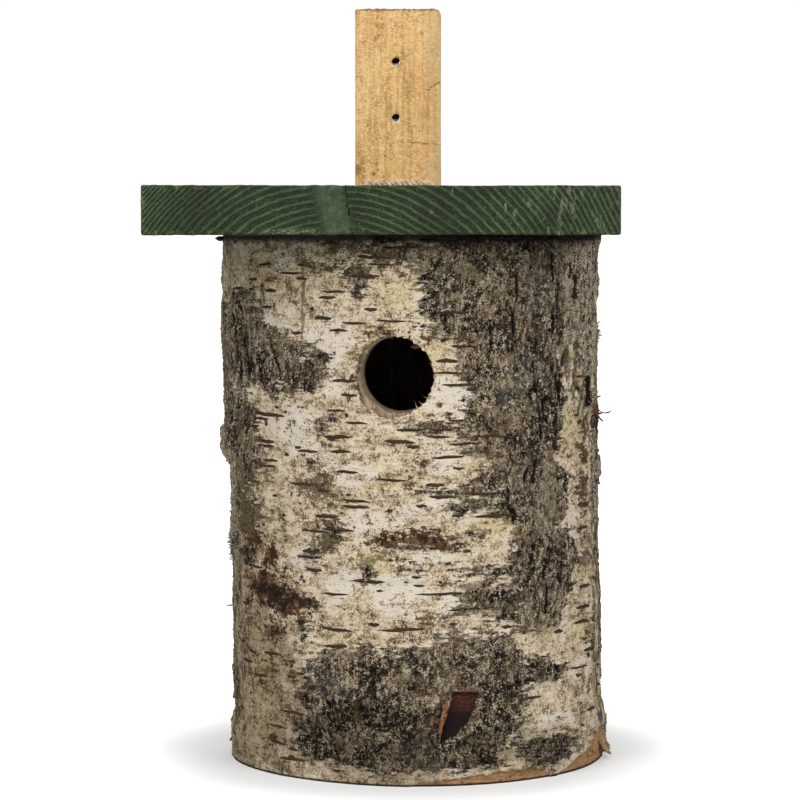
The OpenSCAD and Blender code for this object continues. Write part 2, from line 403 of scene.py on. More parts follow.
# Patches by kind, each an ellipse: angle from +X and height in degrees and millimetres, then its
# half width in degrees and half height in millimetres
PATCHES = {
    "crust": [
        (-118, 18, 12, 11), (-98, 12, 16, 7), (-88, 194, 4, 3), (-84, 151, 6, 2), (-78, 120, 7, 2),
        (-152, 184, 15, 21), (-134, 175, 13, 13), (-121, 173, 5, 9), (-150, 203, 7, 5),
        (-168, 178, 9, 22), (-55, 205, 33, 28), (-78, 221, 13, 9), (-57, 160, 18, 32),
        (-24, 202, 13, 34), (-66, 180, 11, 16), (-67, 151.5, 10, 7), (-52, 118.5, 15, 20),
        (-66, 127.5, 7, 6), (-48, 89, 13, 24), (-66, 90, 19, 3), (-66, 78.5, 14, 7), (-52, 71.5, 8, 8),
        (-104, 38, 23, 21), (-78, 42, 24, 22), (-110, 17, 14, 9), (-52, 45.5, 11, 8), (-84, 18, 22, 12),
        (-68, 28, 9, 14), (-47, 12, 13, 6), (-88, 55.5, 16, 7), (-117, 152.5, 2.4, 5),
        (-106, 213, 3, 8), (-111, 219, 6, 2), (-97, 222, 6, 3), (-126, 64.5, 2.4, 5),
        (-115, 106, 2.6, 6), (-122, 98, 4, 4), (-88.5, 102.8, 7.5, 2.2), (-140, 82.5, 4, 3),
        (-131, 75, 6, 3), (-162, 118, 6, 13), (-166, 142, 8, 9), (-168, 100, 6, 8), (-157, 141, 14, 24),
        (-150, 108, 6, 9), (-150, 94, 3, 4), (-79, 106, 5, 1.6), (-77, 124.5, 5, 2), (-106, 89, 1.6, 4),
        (-12, 150.5, 7, 16), (-8, 215, 10, 14), (-14, 120.5, 6, 14), (8, 60, 16, 34), (30, 185, 17, 30),
        (52, 100, 13, 44), (70, 35, 22, 22), (98, 190, 16, 26), (112, 120, 12, 30), (132, 52, 16, 30),
        (150, 150, 13, 30), (150, 215, 20, 10), (88, 225, 26, 7), (-20, 60, 3, 12), (-18, 128, 3, 9),
        (-31, 124, 3.5, 4.5), (-27, 112, 2.5, 4), (-26, 98, 2.4, 5), (-32, 104, 2, 2.5),
        (-27, 138, 2.4, 4), (-30, 91, 4, 1.2), (-30, 72, 4, 1.4), (-27, 60, 2.5, 4), (24, 12, 20, 9),
        (118, 14, 20, 9), (172, 30, 8, 20),
    ],
    "white": [
        (-134, 193, 9, 6), (-115, 187, 7, 10), (-113, 172, 4, 9), (-127, 149.5, 8, 9),
        (-130, 219, 5, 5), (-80, 163, 6, 8), (-85, 201, 5, 4), (-75, 183, 5, 1.5), (-80, 142.5, 8, 2),
        (-82, 134.5, 6, 2.4), (-88, 117.5, 9, 3), (-104, 111, 10, 5), (-113, 84, 8, 9),
        (-95, 81, 10, 11), (-84, 98, 9, 3), (-126, 93, 5, 7), (-44, 24, 9, 4), (-60, 22, 2, 6),
        (-33, 44.5, 6, 5), (-72, 64.5, 8, 2), (-80, 77.5, 4, 6), (-109, 128.5, 6, 6),
        (-153, 197, 2.5, 2.5), (-148, 190, 1.5, 2.5), (-106, 49.5, 1.6, 2), (-121, 51.5, 3, 2),
        (-92, 26, 2.4, 2), (-35, 96, 3, 9), (-34, 112.5, 4, 3), (-40, 71.5, 4, 4), (-118, 136.5, 6, 6),
        (60, 160, 12, 20), (85, 110, 10, 26), (130, 190, 10, 14), (20, 120, 8, 20), (160, 90, 9, 20),
    ],
    "lichen": [
        (-95, 207, 8, 8), (-90, 214, 6, 5), (-70, 134.5, 7, 4), (-68, 108, 9, 6), (-73, 99, 6, 5),
        (-45, 62.5, 7, 5), (-104, 183, 5, 7), (-97, 128.5, 10, 6), (-84, 180, 4, 6),
        (-36, 145.5, 5, 12), (-31, 150, 5, 7), (-31, 133, 5, 4), (-36, 210, 2, 4), (-36, 178, 2.4, 9),
        (-143, 32, 7, 20), (-146, 56.5, 6, 14), (-108, 60.5, 12, 4), (-70, 156, 6, 4), (-29, 85, 5, 6),
        (-30, 59.5, 7, 8), (-135, 214, 12, 10), (-102, 96, 8, 6), (66, 190, 10, 14), (100, 70, 12, 18),
        (140, 110, 8, 22), (38, 60, 8, 20), (168, 190, 10, 16),
    ],
    "olive": [
        (-152, 40, 22, 44), (-134, 26, 11, 28), (-152, 118, 15, 44), (-163, 190, 12, 40),
        (-128, 60, 9, 16), (-112, 92, 6, 8), (-96, 66, 12, 5), (-124, 16, 16, 12), (-146, 217, 16, 14),
        (-122, 212, 9, 14), (-140, 205, 10, 10), (-108, 176, 5, 9), (-137, 128, 5, 10),
        (-131, 107, 9, 12), (-118, 126.5, 8, 6), (-145, 101, 8, 12), (-140, 51.5, 12, 14),
        (-100, 140.5, 8, 4), (-88, 131.5, 8, 5), (-128, 45.5, 5, 8), (-52, 32, 9, 7), (-68, 12, 9, 5),
        (-97, 61.5, 10, 4), (-100, 183, 9, 7), (-120, 118.5, 8, 8), (-30, 32, 10, 10),
        (-112, 204, 8, 5), (-140, 71.5, 12, 10), (-29, 112, 12, 44), (50, 180, 20, 40),
        (120, 150, 24, 40), (30, 90, 18, 30), (90, 40, 26, 26), (160, 60, 14, 40),
    ],
    "rust": [
        (-93, 103.6, 6, 3.0), (-86, 102.6, 7, 2.4), (-143, 81, 9, 7), (-134, 77, 11, 8),
        (-139, 92, 4, 6), (-137, 63.5, 3, 6), (-88, 186.5, 4, 1), (-146, 100, 4, 4), (-12, 148.5, 5, 5),
        (76, 140, 5, 6), (146, 30, 6, 8), (14, 200, 5, 7),
    ],
    "strip": [
        (-24, 200, 16, 52), (-13, 120.5, 8, 50), (-14, 61.5, 7, 50), (-166, 80, 9, 66),
        (-4, 111, 12, 140), (42, 130, 12, 130), (76, 70, 8, 90), (104, 170, 10, 90), (140, 90, 9, 130),
        (174, 130, 12, 130), (16, 150, 8, 110),
    ],
    "veil": [
        (-160, 46, 24, 56), (-138, 34, 14, 34), (-104, 16, 24, 22), (-60, 14, 26, 10),
        (-4, 110, 9, 110), (160, 70, 16, 60), (60, 40, 40, 40), (110, 200, 30, 30),
    ],
    "smudge": [
        (-118, 127, 7, 8), (-29, 121, 5, 8), (-25, 134, 4, 6), (-137, 78, 12, 8), (-139, 92, 4, 7),
        (-116, 101, 4, 6), (-150, 112, 4, 12), (-152, 62, 4, 12), (-104, 222, 9, 4), (70, 150, 8, 10),
        (130, 90, 8, 12),
    ],
    "fissure": [
        (-48, 150.5, 14, 90), (-30, 200, 12, 50), (-152, 184, 16, 24), (45, 120, 30, 130),
        (110, 120, 24, 130), (170, 120, 20, 130), (5, 120, 20, 130),
    ],
    "cool": [
        (-122, 47, 6, 5), (-117, 41, 7, 6), (-61, 168, 6, 7), (-48, 205, 6, 8),
        (30, 150, 8, 12), (130, 60, 10, 12),
    ],
}

# Corners of the torn window low on the front: angle and height
WINDOW = [
    (-79.6, 40), (-72.2, 39), (-73.6, 32), (-75.6, 26.5), (-79.6, 21.5), (-83.6, 18.4), (-82.8, 25),
    (-81, 33),
]
SLOT = (-21.8, 162.4, 4.4, 6.9)  # angle, height and half sizes of the broken-out slot
SLIT = (-33, 208, 1.9, 7.0)  # the same of the narrow slit above it

# Depths of the bark's openings, in millimetres
WINDOW_DEPTH = 1.3
SLOT_DEPTH = 2.0
SLIT_DEPTH = 1.6
FOOT_DEPTH = 1.15

# Open cracks in the rough bark: angle, height, half length, and lean in millimetres to a millimetre
CRACKS = [
    (-44, 217, 7, -0.1), (-33.6, 219, 5, -0.15), (-58.3, 208, 6, 0.05), (-42.4, 201, 10, 0.06),
    (-59.6, 193, 6, -0.1), (-44.2, 194, 6, 0.05), (-67, 188, 7, 0.0), (-40, 174, 8, 0.5),
    (-41.6, 162, 7, -0.05), (-40.4, 146, 9, 0.02), (-43, 139, 9, -0.08), (-38.8, 122, 12, -0.08),
    (-35.4, 97, 5, 0.0), (-52, 131, 6, 0.2), (-33, 96, 9, 0.0), (-42, 88, 8, 0.04), (-48, 76, 6, 0.1),
    (-40, 66, 8, -0.05), (-161, 196, 12, -0.12), (-155, 186, 13, -0.2), (-148, 177, 11, -0.25),
    (-166, 176, 14, -0.05), (-141, 172, 8, -0.3), (-152, 172, 9, -0.15), (-134, 178, 6, -0.4),
    (-158, 121, 9, 0.1), (12, 70, 14, 0.05), (4, 52, 10, -0.1), (26, 190, 15, 0.1), (34, 175, 12, 0.0),
    (52, 110, 16, 0.05), (48, 84, 12, -0.1), (100, 196, 12, 0.1), (110, 128, 14, -0.05),
    (132, 60, 12, 0.1), (150, 156, 14, 0.0),
]

# Thin brown creases in the paper, given in the same way
CREASES = [
    (-123.8, 206, 24, 0.02), (-129, 172, 8, 0.2), (-151, 44, 16, -0.25),
    (70, 120, 20, 0.05), (150, 100, 24, -0.04),
]

# Plates of bark that stand off the log: angle, height, half sizes in degrees and millimetres, and rise
PLATES = [(182, 139, 9, 8, 1.7), (-2, 128, 8, 5.5, 1.1), (186, 200, 6, 20, 0.6), (-4, 205, 7, 6, 0.5)]

# Flats where the log is narrower than its mean outline, given in the same way with their depth
FLATS = [(-2, 124, 21, 108, 2.1), (-178, 74, 23, 62, 2.1), (-178, 200, 20, 40, 0.5)]
THINNEST = -2.6  # the deepest that the bark may lie under its mean outline

PATCH_RAMP = 10  # width of the ramp over a patch's edge, in millimetres
CRACK_WIDE, CREASE_WIDE = 1.0, 1.6  # half widths of the lines, in millimetres


def patch(kind, u, v):
    """A ramp over the edge of the patches of a kind: 1 inside, 0.5 on the edge and 0 outside."""
    inside = -np.inf
    a = np.degrees(u / LOG_R)
    for angle, height, wide, tall in PATCHES[kind]:
        out = np.sqrt((half_turn(a - angle) / wide) ** 2 + ((v - height) / tall) ** 2)
        inside = np.maximum(inside, (1 - out) * min(math.radians(wide) * LOG_R, tall))
    return np.clip(0.5 + inside / PATCH_RAMP, 0, 1)


def frayed_patches(u, v):
    """Marks of every kind of patch, with frayed edges."""
    ragged_u = u + 9 * ripple(u, v, 18, 5, 1)
    ragged_v = v + 6 * ripple(u, v, 14, 10, 3)
    marks = {}
    for seed, kind in enumerate(PATCHES):
        wide, tall = (4, 18) if kind == "strip" else (13, 5)
        strength = 0.8 if kind == "rust" else 1.5
        torn = ripple(u, v, wide, tall, 40 + seed, 5, 0.75)
        marks[kind] = patch(kind, ragged_u, ragged_v) + strength * torn
    return marks


def in_outline(a, v, corners):
    """True where a place lies inside an outline of corners."""
    inside = np.zeros(np.shape(a), bool)
    for (a0, v0), (a1, v1) in zip(corners, corners[1:] + corners[:1]):
        if v0 != v1:
            crossed = (v0 > v) != (v1 > v)
            inside ^= crossed & (a < (a1 - a0) * (v - v0) / (v1 - v0) + a0)
    return inside


def foot_line(a):
    """Height up to which the bark is shaved off along the foot, by angle."""
    angles = [-180, -96, -90, -80, -70, -60, -54, -49, -46, -43, -37, -28, -21, -13, -8, 0, 40, 60, 90, 180]
    heights = [-2, -2, 1.6, 3.4, 4.0, 4.6, 4.4, 2.4, 0.2, 1.0, 3.4, 7.5, 11.5, 15.5, 6, -1, -2, 2.4, -2, -2]
    return np.interp(a, angles, heights)


def hollow(spot, edge, a, v, fray):
    """1 inside a small squared hollow, 0 outside."""
    angle, height, wide, tall = spot
    out = np.maximum(np.abs(a - angle) / wide, np.abs(v - height) / tall)
    return 1 - soft(out + 0.25 * fray, 1 - edge, 1)


def cracks_and_creases(u, v, fissured):
    """Open cracks and thin creases, each from 0 to 1. A net of cracks fills the fissured patches."""
    net = np.abs(2 * cloud(u + 3.5 * grain(u, v, 30, 7, 12), v, 5, 26, 13, 3) - 1)
    gate = soft(fissured + 1.8 * ripple(u, v, 9, 14, 20, 2), 0.6, 0.95)
    crack = (1 - soft(net, 0.0, 0.1)) * gate
    wobble = 1.6 * ripple(u, v, 4, 5, 8, 2)

    def line(angle, height, half, lean, wide):
        """1 along a line that tapers to both ends, 0 off it."""
        along = np.clip(1 - ((v - height) / half) ** 2, 0, 1)
        across = (u - arc(angle) + GIRTH / 2) % GIRTH - GIRTH / 2
        wide = wide * along**0.5 + 1e-6
        return 1 - soft(np.abs(across - lean * (v - height) + wobble), 0.4 * wide, wide)

    for spot in CRACKS:
        crack = np.maximum(crack, line(*spot, CRACK_WIDE))
    return crack, sum(line(*spot, CREASE_WIDE) for spot in CREASES)


def heights_by_kind(u, v):
    """Heights of paper, crust and fissured strips over the bark's mean, in millimetres."""
    sheets = cloud(u, v, 34, 6, 9) * 7
    peel = np.floor(sheets) + soft(sheets % 1, 0.8, 1)
    paper = 0.16 * (peel - 3.5) + 0.2 * ripple(u, v, 3.2, 1.4, 10)
    lumpy = 0.6 * pebbles(u, v, 2.3, 11) + 1.8 * ripple(u, v, 5, 6, 14, 5, 0.6)
    crust = 0.6 + lumpy + 0.7 * (grain(u, v, 1.2, 1.3, 15) - 0.5)
    strip = 0.2 + 1.5 * ripple(u, v, 3.6, 30, 16, 3, 0.6) + 1.5 * ripple(u, v, 1.8, 2.8, 17, 3, 0.6)
    return paper, crust, strip


def lumps_and_flats(a, u, v):
    """How the log departs from its mean outline, in millimetres."""
    change = 0.9 * ripple(u, v, 60, 45, 5, 2)
    for angle, height, wide, tall, depth in FLATS:
        across, up = half_turn(a - angle) / wide, (v - height) / tall
        change = change - depth * soft(1 - across**2, 0, 0.5) * soft(1 - up**2, 0, 0.25)
    return change


def survey(u, v):
    """The bark at places round and up the log: its relief in millimetres, and its marks from 0 to 1."""
    a = half_turn(np.degrees(u / LOG_R))
    fray = ripple(u, v, 4, 2.5, 7)
    marks = frayed_patches(u, v)
    crust = soft(marks["crust"], 0.42, 0.62)
    strip = soft(marks["strip"], 0.3, 0.8) * (1 - crust)
    paper = 1 - np.maximum(crust, strip)
    crack, marks["crease"] = cracks_and_creases(u, v, marks.pop("fissure"))
    paper_high, crust_high, strip_high = heights_by_kind(u, v)
    relief = paper * paper_high + crust * crust_high + strip * strip_high - crack * (1 - 0.7 * paper)
    for angle, height, wide, tall, rise in PLATES:
        out = np.maximum(np.abs(half_turn(a - angle)) / wide, np.abs(v - height) / tall) + 0.3 * fray
        relief = relief + rise * (1 - soft(out, 0.72, 0.98))

    slot = hollow(SLOT, 0.16, a, v, fray)
    slit = hollow(SLIT, 0.5, a, v, fray)
    window = in_outline(a + fray, v + 1.2 * fray, WINDOW).astype(float)
    relief = relief * (1 - window) * (1 - slot)
    relief = relief - WINDOW_DEPTH * window - SLOT_DEPTH * slot - SLIT_DEPTH * slit
    foot = foot_line(a)
    shaved = 1 - soft(v + 2.4 * fray + 1.5 * ripple(u, v, 12, 40, 18, 2), foot - 0.3, foot + 0.5)
    relief = relief * (1 - shaved) - shaved * (FOOT_DEPTH + 0.25 * ripple(u, v, 5, 9, 19))

    marks["bare"] = shaved
    marks["torn"] = np.maximum(window, slot)
    # Cracks, the slit and the slot, which the finish paints near-black as the shade in them
    marks["deep"] = np.clip(crack * (1 - 0.8 * paper) + slit + slot, 0, 1)
    level = 0.6 * crust + 0.2 * strip
    # This mark is the relief's height over its level: the bark's finish darkens low places with it as painted
    # shade in hollows, and lightens high places as painted light on tops.
    marks["knob"] = np.clip(0.5 + 0.5 * (relief - level) / 0.6, 0, 1)
    return np.maximum(relief + lumps_and_flats(a, u, v), THINNEST), marks


def skin(u, v):
    """Height of the bark's surface over the log's mean outline at places round and up the log."""
    return survey(u, v)[0]


# ---------------------------------------------------------------- shader trees

class Finish:
    """A material whose nodes are added and wired by short calls. Sizes are in millimetres.

    Colours are taken by their names in the settings.
    """

    def __init__(self, name, colours=None):
        self.material = bpy.data.materials.new(name)
        self.material.use_nodes = True
        self.tree = self.material.node_tree
        self.shader = self.tree.nodes["Principled BSDF"]
        self.place = self.add("ShaderNodeTexCoord").outputs["Object"]
        self.colours = colours

    def add(self, kind, **settings):
        """A new node with its settings."""
        node = self.tree.nodes.new(kind)
        for key, value in settings.items():
            setattr(node, key, value)
        return node

    def feed(self, socket, value):
        """Links an output to a socket, or sets the socket's own value."""
        if isinstance(value, bpy.types.NodeSocket):
            self.tree.links.new(value, socket)
        elif value is not None:
            socket.default_value = value

    def stretched(self, stretch, shift):
        """Coordinates in millimetres, pulled out along each axis by a factor."""
        node = self.add("ShaderNodeMapping")
        self.feed(node.inputs["Vector"], self.place)
        node.inputs["Location"].default_value = shift
        node.inputs["Scale"].default_value = [1 / (MM * s) for s in stretch]
        return node.outputs["Vector"]

    def noise(self, size, stretch=(1, 1, 1), detail=3.0, rough=0.55, shift=(0, 0, 0)):
        """Layered noise with features of about that size."""
        node = self.add("ShaderNodeTexNoise")
        self.feed(node.inputs["Vector"], self.stretched(stretch, shift))
        node.inputs["Scale"].default_value = 1 / size
        node.inputs["Detail"].default_value = detail
        node.inputs["Roughness"].default_value = rough
        return node.outputs["Fac"]

    def cells(self, size, stretch, shift):
        """Distance to the nearest of scattered points."""
        node = self.add("ShaderNodeTexVoronoi")
        self.feed(node.inputs["Vector"], self.stretched(stretch, shift))
        node.inputs["Scale"].default_value = 1 / size
        return node.outputs["Distance"]

    def mark(self, name):
        """A mark of the mesh, from 0 to 1."""
        return self.add("ShaderNodeAttribute", attribute_name=name).outputs["Fac"]

    def axes(self, vector):
        """The three parts of a vector."""
        node = self.add("ShaderNodeSeparateXYZ")
        self.feed(node.inputs[0], vector)
        return node.outputs

    def facing_up(self):
        """The upward part of the surface's normal."""
        return self.axes(self.add("ShaderNodeNewGeometry").outputs["Normal"])[2]

    def math(self, operation, a, b=None, c=None):
        """One sum."""
        node = self.add("ShaderNodeMath", operation=operation)
        for socket, value in zip(node.inputs, (a, b, c)):
            self.feed(socket, value)
        return node.outputs[0]

    def times(self, first, *others):
        """Product of values."""
        for value in others:
            first = self.math("MULTIPLY", first, value)
        return first

    def less(self, value):
        """What a share leaves of 1."""
        return self.math("SUBTRACT", 1.0, value)

    def blend(self, *parts, start=0.0):
        """Sum of noises about their middle, each with its weight, on top of a start."""
        total = start
        for value, weight in parts:
            total = self.math("MULTIPLY_ADD", self.math("SUBTRACT", value, 0.5), weight, total)
        return total

    def step(self, value, low, high, start=0.0, end=1.0):
        """Smooth step between two levels."""
        node = self.add("ShaderNodeMapRange", interpolation_type="SMOOTHSTEP")
        for socket, given in zip(node.inputs, (value, low, high, start, end)):
            self.feed(socket, given)
        return node.outputs[0]

    def mix(self, share, a, b, blend="MIX"):
        """Two colours mixed."""
        node = self.add("ShaderNodeMix", data_type="RGBA", blend_type=blend)
        self.feed(node.inputs["Factor"], share)
        self.feed(node.inputs[6], a)
        self.feed(node.inputs[7], b)
        return node.outputs[2]

    def ramp(self, value, low, high, first, last):
        """A colour that goes from one to another between two levels of a value."""
        return self.mix(self.step(value, low, high), self.colours[first], self.colours[last])

    def over(self, base, share, name, strength=1.0):
        """A colour laid over a base by a share."""
        if strength < 1:
            share = self.math("MULTIPLY", share, strength)
        return self.mix(share, base, self.colours[name])

    def layers(self, base, *rows):
        """A base under layers. Each is a value, the levels it comes in between, a colour and its strength."""
        for value, low, high, name, strength in rows:
            base = self.over(base, self.step(value, low, high), name, strength)
        return base

    def pick(self, share, a, b):
        """Two values mixed by a share."""
        node = self.add("ShaderNodeSeparateColor")
        self.feed(node.inputs[0], self.mix(share, a, b))
        return node.outputs[0]

    def bump(self, height, depth):
        """A normal from a height, whose full range is that depth in millimetres."""
        node = self.add("ShaderNodeBump")
        node.inputs["Distance"].default_value = depth * MM
        self.feed(node.inputs["Height"], height)
        return node.outputs[0]

    def done(self, colour, roughness, normal, specular):
        """Ends the tree in the surface shader."""
        self.feed(self.shader.inputs["Base Color"], colour)
        self.feed(self.shader.inputs["Roughness"], roughness)
        self.feed(self.shader.inputs["Normal"], normal)
        self.shader.inputs["Specular IOR Level"].default_value = specular
        return self.material


# ---------------------------------------------------------------- finish of the bark

def bark_noises(f):
    """Noises and masks that the parts of the bark's finish share."""
    n = SimpleNamespace(
        fine=f.noise(0.8, detail=3, rough=0.7),
        small=f.noise(2.4, stretch=(1.2, 1.2, 0.9), detail=7, rough=0.78, shift=(3, 1, 7)),
        broad=f.noise(9, stretch=(1.2, 1.2, 0.8), detail=9, rough=0.72, shift=(5, 2, 9)),
        drift=f.noise(26, detail=4),
        streak=f.noise(2.4, stretch=(3.4, 3.4, 0.6), detail=6, rough=0.75, shift=(1, 6, 2)),
        fibre=f.noise(2.0, stretch=(1, 1, 6), detail=7, rough=0.7, shift=(2, 5, 8)),
        upward=f.noise(1.5, stretch=(1, 1, 2.6), detail=5, rough=0.7, shift=(9, 2, 4)),
        blot=f.noise(4.5, stretch=(1, 1, 1.3), detail=4, rough=0.6, shift=(4, 7, 1)),
        # The relief's height, which paints shade in hollows and light on tops
        knob=f.mark("knob"),
    )
    white = f.blend((f.mark("white"), 1.0), (n.small, 1.8), (n.broad, 0.8), (n.fine, 0.4))
    n.white = f.step(white, 0.01, 0.09)
    n.pepper = f.blend((n.fine, 1.2), (n.small, 0.45), (n.broad, 0.5))
    dirt = f.blend((n.fine, 1.3), (n.small, 1.5), (n.broad, 1.2))
    dirt = f.blend((n.streak, 0.8), (n.drift, 0.3), (n.blot, 0.7), start=dirt)
    dirt = f.math("MULTIPLY_ADD", f.step(f.mark("olive"), 0.3, 0.8), 0.07, dirt)
    n.dirt = f.math("MULTIPLY_ADD", n.white, -0.08, dirt)
    return n


def paper_colour(f, n):
    """Pale paper under a film of dirt, which runs from cream through olive to near-black specks."""
    paper = f.ramp(n.dirt, -0.14, 0.0, "pale", "cream")
    lichen = f.blend((f.mark("lichen"), 0.6), (n.small, 1.6), (n.broad, 1.0))
    paper = f.over(paper, f.step(lichen, 0.0, 0.14), "lichen", 0.6)
    paper = f.over(paper, n.white, "white", 0.75)
    return f.layers(
        paper,
        (n.dirt, -0.22, -0.3, "white", 0.6),
        (n.dirt, 0.01, 0.07, "film", 0.75),
        (n.dirt, 0.13, 0.19, "olive", 0.88),
        (n.dirt, 0.24, 0.28, "speck", 0.92),
        (n.pepper, 0.17, 0.19, "speck", 0.92),
        (f.blend((n.fine, 1.2), (n.small, 0.5)), -0.14, -0.17, "white", 0.8),
        (f.blend((f.mark("crease"), 0.5), (n.small, 1.6), (n.fine, 0.6)), 0.0, 0.2, "olive", 0.8),
    )


def crust_colour(f, n):
    """Dark crust with pale flecks and grains, and near-black pits. Its relief height darkens its hollows as
    painted shade and partly lightens its high grains as painted light.
    """
    ridged = f.step(f.mark("strip"), 0.3, 0.8, 0.0, 0.22)
    # The relief's height in the grit paints shade in the crust's hollows and light on its higher grains
    grit = f.blend((n.fine, 3.0), (n.upward, 2.0), (n.small, 1.2), (n.knob, 0.8), start=ridged)
    tone = f.blend((n.blot, 1.6), (n.broad, 1.5), (n.drift, 1.0), start=grit)
    tone = f.math("MULTIPLY_ADD", f.step(f.mark("veil"), 0.2, 0.8), -0.22, tone)
    flecks = f.blend((n.fine, 3.0), (n.small, 2.8), (n.upward, 1.6), (n.blot, 0.6), start=ridged)
    return f.layers(
        f.ramp(tone, -0.42, -0.2, "pit", "crust_dark"),
        (tone, -0.12, 0.2, "crust", 1.0),
        (f.blend((n.broad, 1.0), (n.small, 0.8)), 0.0, 0.12, "crust_warm", 0.5),
        (n.drift, 0.58, 0.66, "crust_cool", 0.2),
        (f.blend((f.mark("cool"), 0.8), (n.small, 1.6), (n.broad, 1.0)), -0.1, 0.2, "crust_cool", 0.35),
        (tone, 0.22, 0.62, "crust_pale", 0.68),
        (grit, 0.36, 0.46, "crust_light", 0.85),
        (flecks, 0.36, 0.43, "fleck", 0.95),
        (f.blend((f.mark("lichen"), 1.0), (n.small, 1.2)), 0.24, 0.4, "moss", 0.55),
    )


def strip_colour(f, n):
    """Fissured strips: tan ridges with dark grooves, running up the log. The relief height in their tone
    paints shade in the grooves and light on the ridges.
    """
    lift = f.blend((n.fibre, 2.4), (n.fine, 2.0), (n.small, 3.0), (n.knob, 1.4))
    lift = f.blend((n.blot, 2.4), (n.broad, 1.6), (n.upward, 2.2), start=lift)
    return f.layers(
        f.ramp(lift, -0.5, -0.34, "pit", "strip_dark"),
        (lift, -0.26, -0.04, "strip", 1.0),
        (lift, 0.1, 0.3, "strip_light", 0.95),
        (f.blend((n.small, 1.6), (n.fine, 1.0)), 0.2, 0.26, "fleck", 0.8),
        (f.blend((n.broad, 1.0), (n.blot, 1.2), (n.small, 1.0)), 0.08, 0.16, "moss", 0.8),
        (f.blend((n.streak, 1.0), (n.small, 1.2)), 0.1, 0.18, "olive", 0.35),
        (n.pepper, 0.17, 0.19, "speck", 0.8),
    )


def stained(f, n, colour):
    """Bark under brown smudges and rust."""
    smudge = f.blend((f.mark("smudge"), 0.9), (n.small, 1.4), (n.fine, 1.4), start=n.dirt)
    # The relief's height darkens low places in the smudges: painted shade
    stain = f.ramp(f.blend((n.fine, 2.4), (n.small, 2.0), (n.knob, 0.6)), -0.3, 0.3, "smudge", "olive")
    colour = f.over(colour, f.step(smudge, -0.1, 0.1), "olive", 0.7)
    colour = f.mix(f.step(smudge, 0.1, 0.35), colour, stain)
    grains = f.times(f.step(smudge, 0.0, 0.2), f.step(n.fine, 0.6, 0.64))
    colour = f.over(colour, grains, "film", 0.8)
    rust = f.blend((f.mark("rust"), 1.0), (n.small, 1.6), (n.fine, 0.8))
    core = f.blend((f.mark("rust"), 0.55), (n.small, 1.8), (n.fine, 1.0), (n.blot, 1.6))
    return f.layers(
        colour,
        (rust, -0.24, 0.1, "rust_halo", 0.4),
        (rust, -0.05, 0.15, "rust", 0.8),
        (core, 0.05, 0.16, "rust_dark", 0.92),
    )


def opened(f, n, colour, level):
    """Bark with its shaved foot, its torn places, and near-black painted shade in its cracks, slit and slot.
    """
    bare = f.layers(
        f.ramp(n.streak, 0.38, 0.62, "bare", "bare_light"),
        (f.blend((n.small, 1.0), (n.streak, 1.0)), 0.02, 0.14, "bare_red", 0.7),
        (f.blend((n.small, 1.0), (n.broad, 1.0), (n.fine, 0.6)), 0.1, 0.2, "speck", 0.7),
    )
    colour = f.mix(f.step(f.mark("bare"), 0.35, 0.6), colour, bare)
    upper = f.step(level, 30 * MM, 33 * MM)
    torn = f.mix(upper, f.colours["torn"], f.colours["torn_light"])
    red = f.step(f.blend((n.fine, 1.0), (n.streak, 1.0)), 0.0, 0.12)
    torn = f.over(torn, f.times(red, upper), "torn_red", 0.8)
    colour = f.mix(f.step(f.mark("torn"), 0.3, 0.6), colour, torn)
    # Near-black over the cracks, the slit and the slot: painted shade
    return f.over(colour, f.step(f.mark("deep"), 0.25, 0.8), "pit", 0.9)


def veiled_and_shaded(f, n, colour, height, level):
    """Bark with a brown veil low on the left, a painted shade band under the roof and a painted
    contact-shadow line along the foot.
    """
    veil = f.step(f.blend((f.mark("veil"), 0.8), (n.broad, 0.5), (n.small, 0.4)), -0.2, 0.3)
    return f.layers(
        f.mix(veil, colour, f.colours["veil"], "MULTIPLY"),
        # Painted shade of the roof along the top of the bark
        (level, (LOG_H - 6) * MM, (LOG_H - 1) * MM, "soot", 0.8),
        (height, (LOG_H - 3.5) * MM, (LOG_H - 1.5) * MM, "soot", 0.75),
        # Painted contact shadow along the foot
        (height, 1.3 * MM, 0.5 * MM, "soot", 0.95),
    )


def bark_finish(colours):
    """Birch bark: papery and pale, with dark crust, fissured strips, lichen, rust stains and torn places."""
    f = Finish("birch_bark", colours)
    n = bark_noises(f)
    strips = f.step(f.blend((f.mark("strip"), 1.0), (n.small, 2.0), (n.broad, 1.4)), -0.06, 0.12)
    crusts = f.blend((f.mark("crust"), 1.0), (n.small, 1.5), (n.fine, 0.6), (n.streak, 1.7))
    crusts = f.step(crusts, -0.05, 0.05)
    colour = f.mix(f.times(strips, 0.85), paper_colour(f, n), strip_colour(f, n))
    colour = f.mix(crusts, colour, crust_colour(f, n))
    colour = stained(f, n, colour)
    height = f.axes(f.place)[2]
    level = f.blend((n.small, 8 * MM), start=height)
    colour = opened(f, n, colour, level)
    colour = veiled_and_shaded(f, n, colour, height, level)

    # The sawn upper edge, which shows when the roof is up
    sawn = f.times(f.step(f.facing_up(), 0.6, 0.8), f.step(height, (LOG_H - 0.6) * MM, (LOG_H - 0.3) * MM))
    colour = f.mix(sawn, colour, f.ramp(n.fine, 0.4, 0.6, "bare_red", "smudge"))

    rough = f.math("MAXIMUM", crusts, f.times(strips, 0.6))
    relief = f.times(f.math("ADD", n.small, n.fine), f.step(rough, 0.0, 1.0, 0.6, 1.3))
    return f.done(colour, f.step(n.white, 0.0, 1.0, 0.9, 0.7), f.bump(relief, 1.2), 0.12)


# ---------------------------------------------------------------- building helpers

